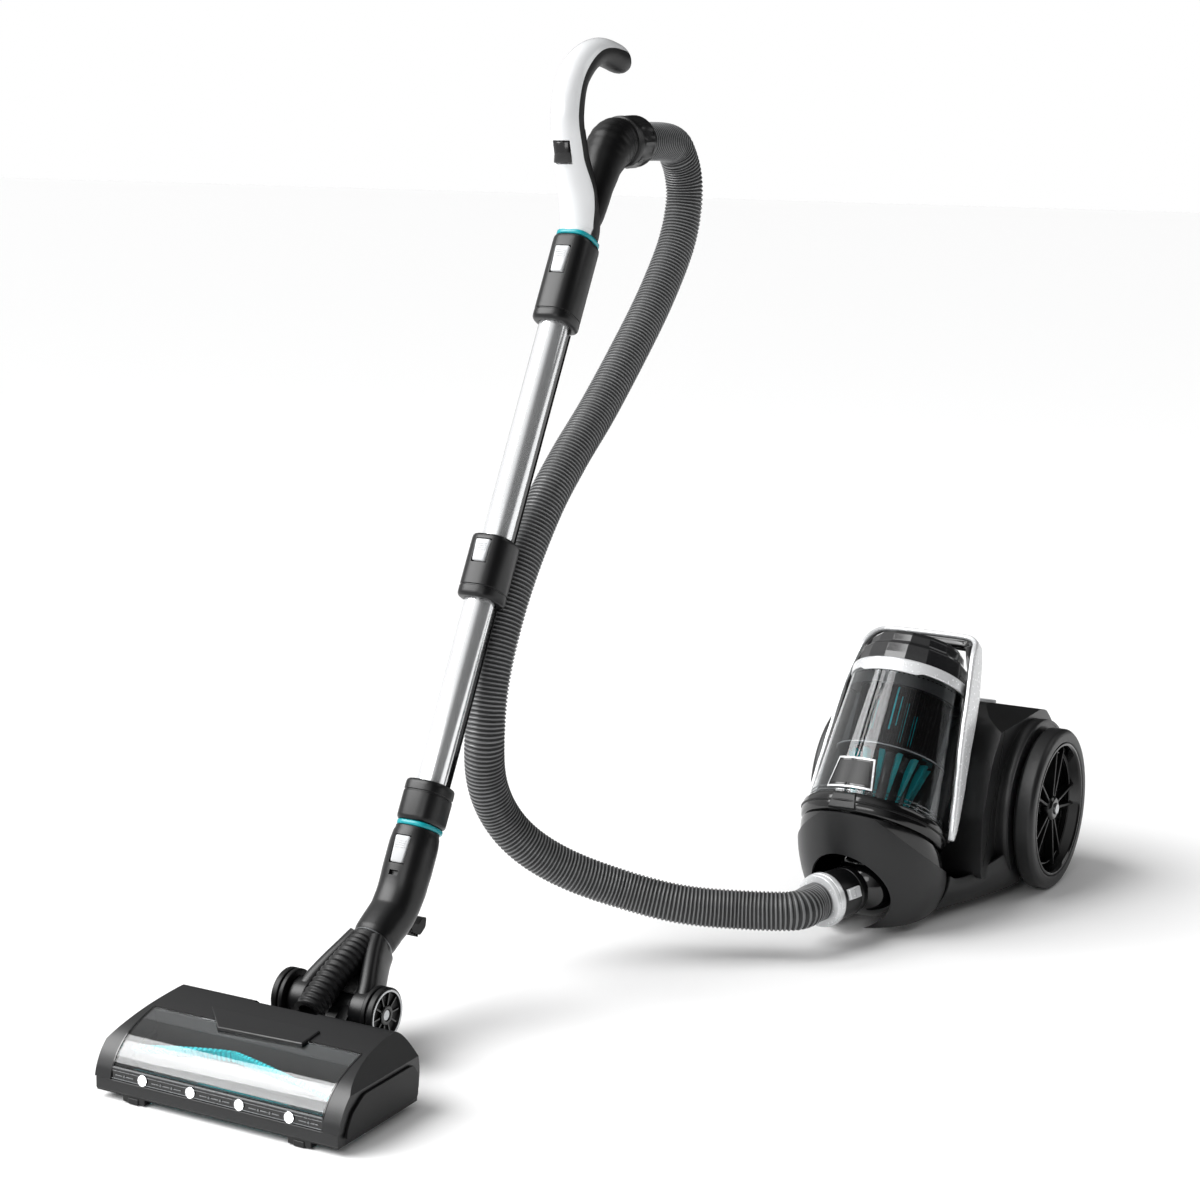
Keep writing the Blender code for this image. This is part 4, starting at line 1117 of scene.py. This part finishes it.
def make_cowl():
    cowl = raw("cowl_dome", sleeve(cowl_loops(), cowl_loops(3.6)), CANISTER)
    cut(
        cowl,
        *[tool(box((-300, 300), (-300, 300), (0, 300)),
               frame_at((CANISTER_X + side * SASH[0], *SASH[1:]), (side * 0.428, 0.440, 0.790)))
          for side, _ in SIDES],
        tool(box((-200, 200), (374, 700), (-50, 400)), CANISTER),
        tool(rod(45.0, 0, 120, HIGH), INLET),
    )
    finish_piece(cowl, "satin", "canister", ("front_cowl",), 0.9, 32, 3)
    dish = raw("bin_cradle", sleeve(cowl_loops(2.6), cowl_loops(4.6)), CANISTER)
    cut(dish, tool(box((-200, 200), (390, 700), (-50, 400)), CANISTER), tool(rod(46.5, 0, 120, HIGH), INLET))
    finish_piece(dish, "gloss", "canister", bevel=0.4)
    top = [(76, 366, 52), (80, 376, 47), (88, 396, 47), (100, 424, 54), (110, 448, 62), (113, 470, 68)]
    low = [(62, 352, 12.4), (70, 372, 12.4), (80, 396, 12.4), (92, 430, 12.4), (104, 470, 12.4),
           (108, 500, 12.4)]
    for side, word in SIDES:
        upper = smooth_curve([(side * x, y, z) for x, y, z in top], 25)
        lower = smooth_curve([(side * x, y, z) for x, y, z in low], 25)
        loops = []
        for a, b in zip(lower, upper):
            loop = []
            for outwards in (0.0, -3.2):
                row = []
                for k in range(7):
                    t = k / 6
                    p = a.lerp(b, t)
                    bulge = 5.0 * math.sin(math.pi * t)
                    row.append(Vector((p.x + side * (bulge + outwards), p.y - 0.3 * bulge, p.z)))
                loop += row if outwards == 0.0 else row[::-1]
            loops.append(loop)
        canister_piece(f"{word}_skirt", loft(loops), "satin", bevel=0.8, angle=40, segments=3)


DOME_R = 38.0


def make_inlet():
    arc = []
    for i in range(25):
        z = -30.0 + 62.0 * i / 24
        arc.append((math.sqrt(DOME_R ** 2 - z ** 2), z))
    piece("socket_dome", turned(arc + [(21.6, 32.0), (21.6, -30.0)], HIGH), "gloss", "canister", INLET,
          ("inlet_socket",), angle=40)
    profile = rounded([(21.2, -4), (21.2, 33), (25.4, 34), (26.6, 42), (26.6, 44), (25.8, 44.6), (25.8, 46),
                       (26.8, 46.6), (27.4, 60), (27.4, 75.6), (17, 75.6), (17, -4)], 0.8)
    body = raw("connector_body", turned(profile, HIGH), INLET)
    out = Vector((0.94, -0.14, 0.30))
    along = INLET.to_3x3() @ Vector((0, 0, 1))
    out = (out - along * out.dot(along)).normalized()
    pocket = frame_at(INLET @ Vector((0, 0, 60)), out, out.cross(along))
    cut(body, tool(box((-6.6, 6.6), (-10.6, 10.6), (21.35, 40)), pocket))
    finish_piece(body, "charcoal", "canister", ("hose_connector",), 0.4, 35)
    latch = many([box((-6, 6), (-10, 10), (23.8, 29.4)), box((-5.2, 5.2), (-9.2, -1.2), (29, 30.6))])
    piece("connector_button", latch, "silver", "connector_latch", pocket, ("connector_latch",), 0.8)
    piece("connector_button_face", box((-4.2, 4.2), (1.2, 8.6), (29.2, 29.9)), "grey_button",
          "connector_latch", pocket, bevel=0.4)
    ring = rounded([(28.6, 76), (30.0, 78.5), (30.0, 84), (29.2, 84.6), (29.2, 85.4), (29.8, 86),
                    (28.6, 89.8), (24.0, 90.0), (17, 90), (17, 76)], 0.6)
    piece("hose_ring", turned(ring, HIGH), "silver", "connector_ring", INLET, ("connector_ring",))


def rear_profile():
    outline = [(400, 40.4), (400, 110), (425, 170), (462, 213), (495, 224), (600, 196), (634, 165),
               (650, 118), (653, 84), (651, 40.4)]
    return rounded(outline, 9.0, 4)


def make_rear_body():
    shell = raw("body_cover", extruded(rear_profile(), -99.0, 99.0), CANISTER)
    for side in (-1, 1):
        facet = [(side * 62, 224), (side * 101, 200), (side * 101, 244), (side * 62, 244)]
        cut(shell, tool(drawn_back(facet, 380, 680), CANISTER))
    combine(shell, [tool(rod(102.0, -114, 114, HIGH), sideways(0, WHEEL_Y, WHEEL_R))], "UNION")
    tools = [
        tool(rod(85.0, -200, 400, HIGH), BIN),
        tool(box((-97, 97), (-200, 36), (-200, 400)), BIN),
        tool(box((-300, 300), (0, 900), (-100, 40.4)), CANISTER),
    ]
    for side in (-1, 1):
        tools.append(tool(rod(16.6, -15, 20), DECK @ Matrix.Translation((side * 38.0, 0, 0))))
        seam = frame_at((side * 99.0, 438.0, 138.0), (0, 0.36, 0.93))
        tools.append(tool(box((-2.0, 2.0), (-0.7, 0.7), (-88, 80)), CANISTER @ seam))
        side_line = frame_at((side * 114.0, 470.0, 75.0), (0, 0.34, 0.94))
        tools.append(tool(box((-1.2, 1.2), (-0.5, 0.5), (-40, 120)), CANISTER @ side_line))
    tools.append(tool(box((-70, 70), (-0.45, 0.45), (-1.0, 3)), DECK @ Matrix.Translation((0, -34, 14))))
    cut(shell, *tools)
    finish_piece(shell, "satin", "canister", ("body_shell",), 1.6, 32, 3)
    for side, word in SIDES:
        stub = rod(6.0, *sorted((side * 112, side * 137)), LOW)
        piece(f"{word}_axle_stub", stub, "steel", "canister", sideways(0, WHEEL_Y, WHEEL_R), bevel=0.5)
        arc = []
        for k in range(61):
            a = math.radians(-32 + 244 * k / 60)
            loop = []
            for r, x in ((101.8, 100), (102.6, 108), (102.2, 112.6), (101.0, 114.2), (98.0, 114.6),
                         (98.0, 100)):
                loop.append((side * x, WHEEL_Y + r * math.cos(a), WHEEL_R + r * math.sin(a)))
            arc.append(loop)
        canister_piece(f"{word}_wheel_arch", loft(arc), "satin", bevel=0.5)
    slats = []
    for side in (-1, 1):
        for k in range(7):
            z = 68 + 9.0 * k
            lean = 653.0 - (z - 84) * 0.085 if z > 84 else 652.4
            slats.append(box(sorted((side * 22.0, side * 84.0)), (lean - 3.0, lean + 1.6), (z, z + 4.0)))
    canister_piece("exhaust_louvres", many(slats), "black", bevel=0.8)


def make_pedals():
    for side, node in ((1, "power_button"), (-1, "rewind_button")):
        seat = DECK @ Matrix.Translation((side * 38.0, 0, 0))
        profile = rounded([(0, -11), (16, -11), (16, 3.0), (14, 4.0), (12.6, 3.2), (0, 3.0)], 0.8)
        piece(node + "_cap", turned(profile), "grey_button", node, seat, (node,), angle=40)
        if side > 0:
            mark = [tube(5.2, 4.0, 3.0, 3.7, LOW)]
        else:
            mark = [moved(box((-5, 5), (-0.7, 0.7), (3.0, 3.7)), Matrix.Rotation(a, 4, "Z"))
                    for a in (0.0, math.pi / 2)]
        piece(node + "_mark", many(mark), "black", node, seat)


def make_wheels():
    low, high = WHEEL_SPAN
    tread = rounded([(78.4, low + 1), (90, low), (94, low + 4), (94, high - 4.5), (91.5, high - 1.2),
                     (88, high), (80.5, high), (78.4, high - 1.4)], 1.6, 4)
    rim = rounded([(69, low + 2), (78, low + 2), (78, high - 0.6), (75.4, high - 0.2), (73.8, high - 2.4),
                   (70.5, low + 11), (69, low + 9)], 0.8)
    inner_rim = band((64.6, 66.8), (low + 8, low + 12.4), 0.6, HIGH)
    disc = band((6.4, 70), (low + 2, low + 5.5), 0.5, HIGH)
    cap = lathe([(6.4, low + 4), (17, low + 4), (14.5, high - 8), (11.5, high - 5.6), (6.4, high - 5.4)],
                1.2)
    plug = lathe([(0, high - 6.4), (6.2, high - 6.4), (5.4, high - 4.2), (0, high - 3.8)], 0.5)
    for side, word in SIDES:
        base = CANISTER @ frame_at((0, WHEEL_Y, WHEEL_R), (side, 0, 0), (0, 1, 0))
        body = f"{word}_wheel"
        piece(f"{word}_tyre_band", turned(tread, HIGH), "tyre", body, base, (f"{word}_tyre",), angle=50)
        parts = [turned(rim, HIGH), inner_rim, disc, cap]
        piece(f"{word}_hub_rim", many(parts), "gloss", body, base, (f"{word}_wheel",), angle=40)
        spokes = []
        for k in range(5):
            for lean in (-1, 1):
                splay = Matrix.Rotation(math.radians(9 * lean), 4, "Z")
                foot = Matrix.Rotation(2 * math.pi * k / 5, 4, "Z") @ Matrix.Translation((13, lean * 2.6, 0))
                bar = loft([[(x, y, z) for x, y in ((0, -1.7), (59, -1.3), (59, 1.3), (0, 1.7))]
                            for z in (low + 5, high - 9)])
                spokes.append(moved(bar, foot @ splay))
        piece(f"{word}_spokes", many(spokes), "black", body, base, bevel=0.6, segments=3)
        piece(f"{word}_hub_plug", plug, "black", body, base)


def tank_radius(z):
    return 76.0 - 10.5 * (z - 13.0) / 153.0 if z > 13 else 76.0


PLAQUE_TURN = math.radians(-96)


def curved_plate(outline, inner, outer, rows=10, columns=16):
    """A plate bent round the tank; outline gives (low z, high z, low half-width, high half-width)."""
    low, high, wide_low, wide_high = outline
    layers = []
    for lift in (outer, inner):
        grid = []
        for i in range(rows + 1):
            t = i / rows
            z = low + (high - low) * t
            half = (wide_low + (wide_high - wide_low) * t) / tank_radius(z)
            row = []
            for k in range(columns + 1):
                a = PLAQUE_TURN + half * (2 * k / columns - 1)
                r = tank_radius(z) + lift
                row.append((r * math.cos(a), r * math.sin(a), z))
            grid.append(row)
        layers.append(grid)
    return loft([front + back[::-1] for front, back in zip(*layers)])


def make_bin():
    base = [(0, -13), (73, -13), (80.5, -9.5), (82, -4), (82, 6), (80.4, 9.4), (78.4, 11.6), (76.5, 12),
            (76.5, -6), (0, -6)]
    bin_piece("bin_foot", lathe(base, 1.6, HIGH, steps=4), "gloss", ("bin_base",), angle=40)
    rim = lathe([(82.0, -1.0), (83.2, -0.2), (83.2, 1.2), (82.0, 2.0)], 0.4, HIGH)
    bin_piece("bin_foot_bead", rim, "black")
    seat = sideways(0, 21.0, 6.0, BIN)
    for side, word in SIDES:
        ends = sorted((side * 78.0, side * 83.6))
        pins = sorted((side * 80.0, side * 90.0))
        piece(f"{word}_pin_boss", many([rod(6.4, *ends, LOW), rod(3.0, *pins, LOW)]), "black", "dust_bin",
              seat, bevel=0.5)
    front = math.radians(-95)
    latch = []
    for lift, shrink in ((0.0, 0.0), (2.6, 0.0), (3.4, 1.2)):
        loop = []
        for x, z in ((-17 + shrink, -9 + shrink), (17 - shrink, -9 + shrink), (14 - shrink, 9 - shrink),
                     (-14 + shrink, 9 - shrink)):
            a = front + x / 82.0
            loop.append(((80.0 + lift) * math.cos(a), (80.0 + lift) * math.sin(a), z))
        latch.append(loop)
    bin_piece("bin_door_latch", loft(latch), "charcoal", bevel=0.7)
    outer = [(76, -5.6), (76, 13), (65.5, 166)]
    inner = [(r - 2.2, z) for r, z in outer]
    bin_piece("bin_clear_tank", lathe(outer + inner[::-1], 0.6, HIGH), "clear", ("bin_tank",), angle=50)
    beads = []
    for z in (14.5, 19.0):
        r = tank_radius(z)
        beads.append(lathe([(r, z), (r + 0.9, z + 0.3), (r + 0.9, z + 1.1), (r, z + 1.4)], 0.3, HIGH))
    bin_piece("tank_beads", many(beads), "clear", angle=50)
    rows = [(66.5, 166.2), (67.4, 167.0), (67.4, 176.6), (66.0, 178.4), (62.0, 178.8), (56.0, 178.8),
            (56.0, 172), (56.0, 166.2)]
    loops = []
    for r, z in rows:
        loop = []
        for a in turns(HIGH):
            off = abs((a - math.radians(-92) + math.pi) % (2 * math.pi) - math.pi)
            drop = 3.4 * max(0.0, min(1.0, (math.radians(34) - off) / math.radians(4)))
            lowered = z - drop if z < 168 else z
            loop.append((r * math.cos(a), r * math.sin(a), lowered))
        loops.append(loop)
    body = sleeve(loops[:4], [loops[7], loops[6], loops[5], loops[4]])
    bin_piece("bin_silver_band", body, "silver", ("bin_band",), angle=30)
    shade = lathe([(61.6, 148.5), (63.0, 148.5), (61.6, 165.6), (60.2, 165.6)], 0.4, HIGH)
    bin_piece("tank_frost_band", shade, "frost")
    ticks = []
    for a in turns(72):
        ticks.append(moved(box((-1.1, 1.1), (-0.3, 0.3), (-0.5, 0.5)),
                           frame_at((63.2 * math.cos(a), 63.2 * math.sin(a), 162.0), (0, 0, 1),
                                    (-math.sin(a), math.cos(a), 0))))
    bin_piece("tank_ticks", many(ticks), "charcoal")
    make_lid()


def make_lid():
    sides = 16
    rows = ((57.5, 178.9), (63.0, 179.5), (62.6, 187.0), (60.8, 198.0), (58.4, 201.0), (55.8, 202.2),
            (55.2, 204.0), (53.8, 212.0), (50.5, 216.6), (44.0, 218.4), (12.0, 219.2))
    loops = []
    for r, z in rows:
        angles = [2 * math.pi * (k + 0.5) / sides for k in range(sides)]
        loops.append([(r * math.cos(a), r * math.sin(a), z) for a in angles])
    bin_piece("bin_cap", loft(loops), "facet", ("bin_lid",), 0.5, 5, 2)


def make_cyclone():
    core = tube(47.0, 44.0, 80, 150, MID)
    rib = box((46.5, 50.6), (-1.1, 1.1), (80, 150))
    bin_piece("shroud_ribs", many([core, spun(rib, 52)]), "black", ("cyclone_shroud",), 0.3)
    streaks = []
    for degrees, low, high in ((-78, 98, 148), (-70, 104, 138), (-62, 86, 132), (-48, 84, 120),
                               (-104, 96, 130), (60, 90, 140), (110, 96, 146), (170, 88, 130)):
        a = math.radians(degrees)
        streaks.append(moved(box((47.2, 49.9), (-1.5, 1.5), (low, high)), Matrix.Rotation(a, 4, "Z")))
    bin_piece("shroud_streaks", many(streaks), "bright_teal")
    flange = lathe([(44, 76.5), (58.5, 76.5), (60.0, 75), (60.8, 76), (59.4, 79.5), (44, 80)], 0.6, HIGH)
    bin_piece("shroud_flange", flange, "smoke_solid")
    line = band((60.4, 61.6), (76.2, 77.6), 0.4, HIGH)
    bin_piece("shroud_rim", line, "silver")
    cone = [(0, -4), (25, -4), (27, 6), (34, 58), (40, 75), (0, 75)]
    bin_piece("cyclone_cone", lathe(cone, 1.5, MID), "smoke_solid", ("cyclone_fins",))
    blades = []
    for k in range(14):
        a = math.radians(-80 + 360 / 14 * k)
        blade = loft([
            [(26, -0.7, 14), (28.5, -0.7, 14), (28.5, 0.7, 14), (26, 0.7, 14)],
            [(34, -3.6, 70), (46, -4.0, 73), (46, 2.6, 73), (34, 2.2, 70)],
            [(36, -3.6, 74), (47, -4.0, 75), (47, 2.6, 75), (36, 2.2, 74)],
        ])
        blades.append(moved(blade, Matrix.Rotation(a, 4, "Z")))
    bin_piece("cyclone_blades", many(blades), "bright_teal", bevel=0.5)


def make_plaque():
    bin_piece("plaque_rim", curved_plate((17.0, 54.0, 28.5, 22.5), 0.3, 2.0), "silver", bevel=0.5, angle=50)
    bin_piece("plaque_panel", curved_plate((19.4, 51.6, 26.0, 20.4), 0.5, 2.6), "gloss", bevel=0.3, angle=50)
    bin_piece("plaque_inlay", curved_plate((22.0, 49.4, 23.2, 18.0), 2.0, 2.9), "charcoal", bevel=0.3,
              angle=50)


ARCH_LINE = ((88.0, 14.5, 1), (87.6, 13.5, 20), (84.0, 12.5, 60), (78.8, 10.5, 110), (74.8, 9.0, 160),
             (69.0, 9.0, 200), (65.0, 11.0, 222), (61.5, 15.0, 232.5), (54.0, 18.5, 239.0),
             (42.0, 20.0, 241.0), (15.0, 20.5, 241.6))


def arch_loops(inner, outer, narrow, deeper=0.0):
    """Sections of the carry handle; deeper grows its inner side towards the top bar."""
    route = list(ARCH_LINE) + [(-x, y, z) for x, y, z in reversed(ARCH_LINE)]
    path = smooth_curve(route, 181)
    loops = []
    for i, here in enumerate(path):
        along = heading(path, i)
        out = Vector((along.z, 0, -along.x)).normalized()
        width = reading((5.6, 9.5, 13.0, 16.0, 18.5, 19.5, 17.5, 9.5),
                        max(0.0, min(1.0, here.z / 241.6))) - narrow
        if min(i, 180 - i) < 4:
            width -= (4 - min(i, 180 - i)) * 0.8
        topness = max(0.0, min(1.0, (here.z - 196.0) / 36.0))
        low = inner - deeper * topness
        centre = (low + outer) / 2
        half = (outer - low) / 2
        section = oval(half, width, 24, (0.5, 0.5))
        loops.append([tuple(here + out * (u + centre) + Vector((0, v, 0))) for u, v in section])
    return loops


def make_carry_handle():
    arch = raw("carry_arch", loft(arch_loops(-2.6, 3.8, 0.0)), BIN)
    finish_piece(arch, "silver", "carry_handle", ("carry_handle",), angle=40)
    liner = arch_loops(-4.6, -1.4, 1.6, 8.0)[6:175]
    piece("carry_arch_liner", loft(liner), "gloss", "carry_handle", BIN, angle=40)


make_cowl()
make_inlet()
make_rear_body()
make_pedals()
make_wheels()
make_bin()
make_cyclone()
make_plaque()
make_carry_handle()


# Floor and light ---------------------------------------------------------------------------------

FLOOR_REACH = 14.0            # metres to each side
FLOOR_DROP = 0.0005           # metres, so that feet and floor do not share a plane


def make_floor():
    mesh = bpy.data.meshes.new("floor")
    corners = ((-1, -1), (1, -1), (1, 1), (-1, 1))
    mesh.from_pydata([(x * FLOOR_REACH, y * FLOOR_REACH, 0) for x, y in corners], [], [(0, 1, 2, 3)])
    floor = linked("floor", mesh)
    floor.location.z = -FLOOR_DROP
    mesh.materials.append(new_material("floor_paint", (0.92, 0.92, 0.92), 0.75))


def make_light(name, place, target, size, power):
    data = bpy.data.lights.new(name, "AREA")
    data.shape = "RECTANGLE"
    data.size, data.size_y = size
    data.energy = power
    light = linked(name, data)
    light.location = place
    light.rotation_euler = (Vector(target) - Vector(place)).to_track_quat("-Z", "Y").to_euler()


def make_sun(angle, strength, towards):
    """A very large soft source, so that the whole floor is lit evenly."""
    data = bpy.data.lights.new("sky_panel", "SUN")
    data.angle = math.radians(angle)
    data.energy = strength
    sun = linked("sky_panel", data)
    sun.rotation_euler = Vector(towards).to_track_quat("-Z", "Y").to_euler()


WALL_DIRECTION = Vector((-0.72, -0.60, 0.33))


def make_world():
    """White behind the object, dim as a fill light, and a white wall to the left in reflections."""
    world = bpy.data.worlds.new("studio")
    world.use_nodes = True
    nodes, links = world.node_tree.nodes, world.node_tree.links

    def remapped(value, low, high, start, end, interpolation="LINEAR"):
        node = nodes.new("ShaderNodeMapRange")
        node.interpolation_type = interpolation
        node.inputs["From Min"].default_value = low
        node.inputs["From Max"].default_value = high
        for socket, amount in (("To Min", start), ("To Max", end)):
            if isinstance(amount, float):
                node.inputs[socket].default_value = amount
            else:
                links.new(amount, node.inputs[socket])
        links.new(value, node.inputs["Value"])
        return node.outputs["Result"]

    background = nodes["Background"]
    background.inputs["Color"].default_value = (1, 1, 1, 1)
    path = nodes.new("ShaderNodeLightPath")
    direction = nodes.new("ShaderNodeTexCoord")
    wall = nodes.new("ShaderNodeVectorMath")
    wall.operation = "DOT_PRODUCT"
    wall.inputs[1].default_value = WALL_DIRECTION.normalized()
    links.new(direction.outputs["Generated"], wall.inputs[0])
    mirrored = remapped(wall.outputs["Value"], -0.15, 0.60, 0.05, 0.82, "SMOOTHSTEP")
    straight = nodes.new("ShaderNodeMath")
    straight.operation = "MAXIMUM"
    links.new(path.outputs["Is Camera Ray"], straight.inputs[0])
    links.new(path.outputs["Is Transmission Ray"], straight.inputs[1])
    seen = remapped(straight.outputs["Value"], 0.0, 1.0, 0.30, 1.0)
    links.new(remapped(path.outputs["Is Glossy Ray"], 0.0, 1.0, seen, mirrored),
              background.inputs["Strength"])
    bpy.context.scene.world = world
    bpy.context.scene.view_settings.view_transform = "Standard"


make_floor()
make_world()
make_sun(50.0, 3.5, (0.55, 0.45, -0.75))       # degrees across, strength, direction
make_light("key", (-1.9, -1.6, 2.2), (0, 0, 0.4), (1.0, 1.6), 26.0)
make_light("rim", (1.8, 1.8, 1.8), (0, 0, 0.4), (1.2, 1.6), 8.0)
make_light("front", (0.4, -2.8, 1.6), (0, 0, 0.3), (1.6, 0.8), 14.0)
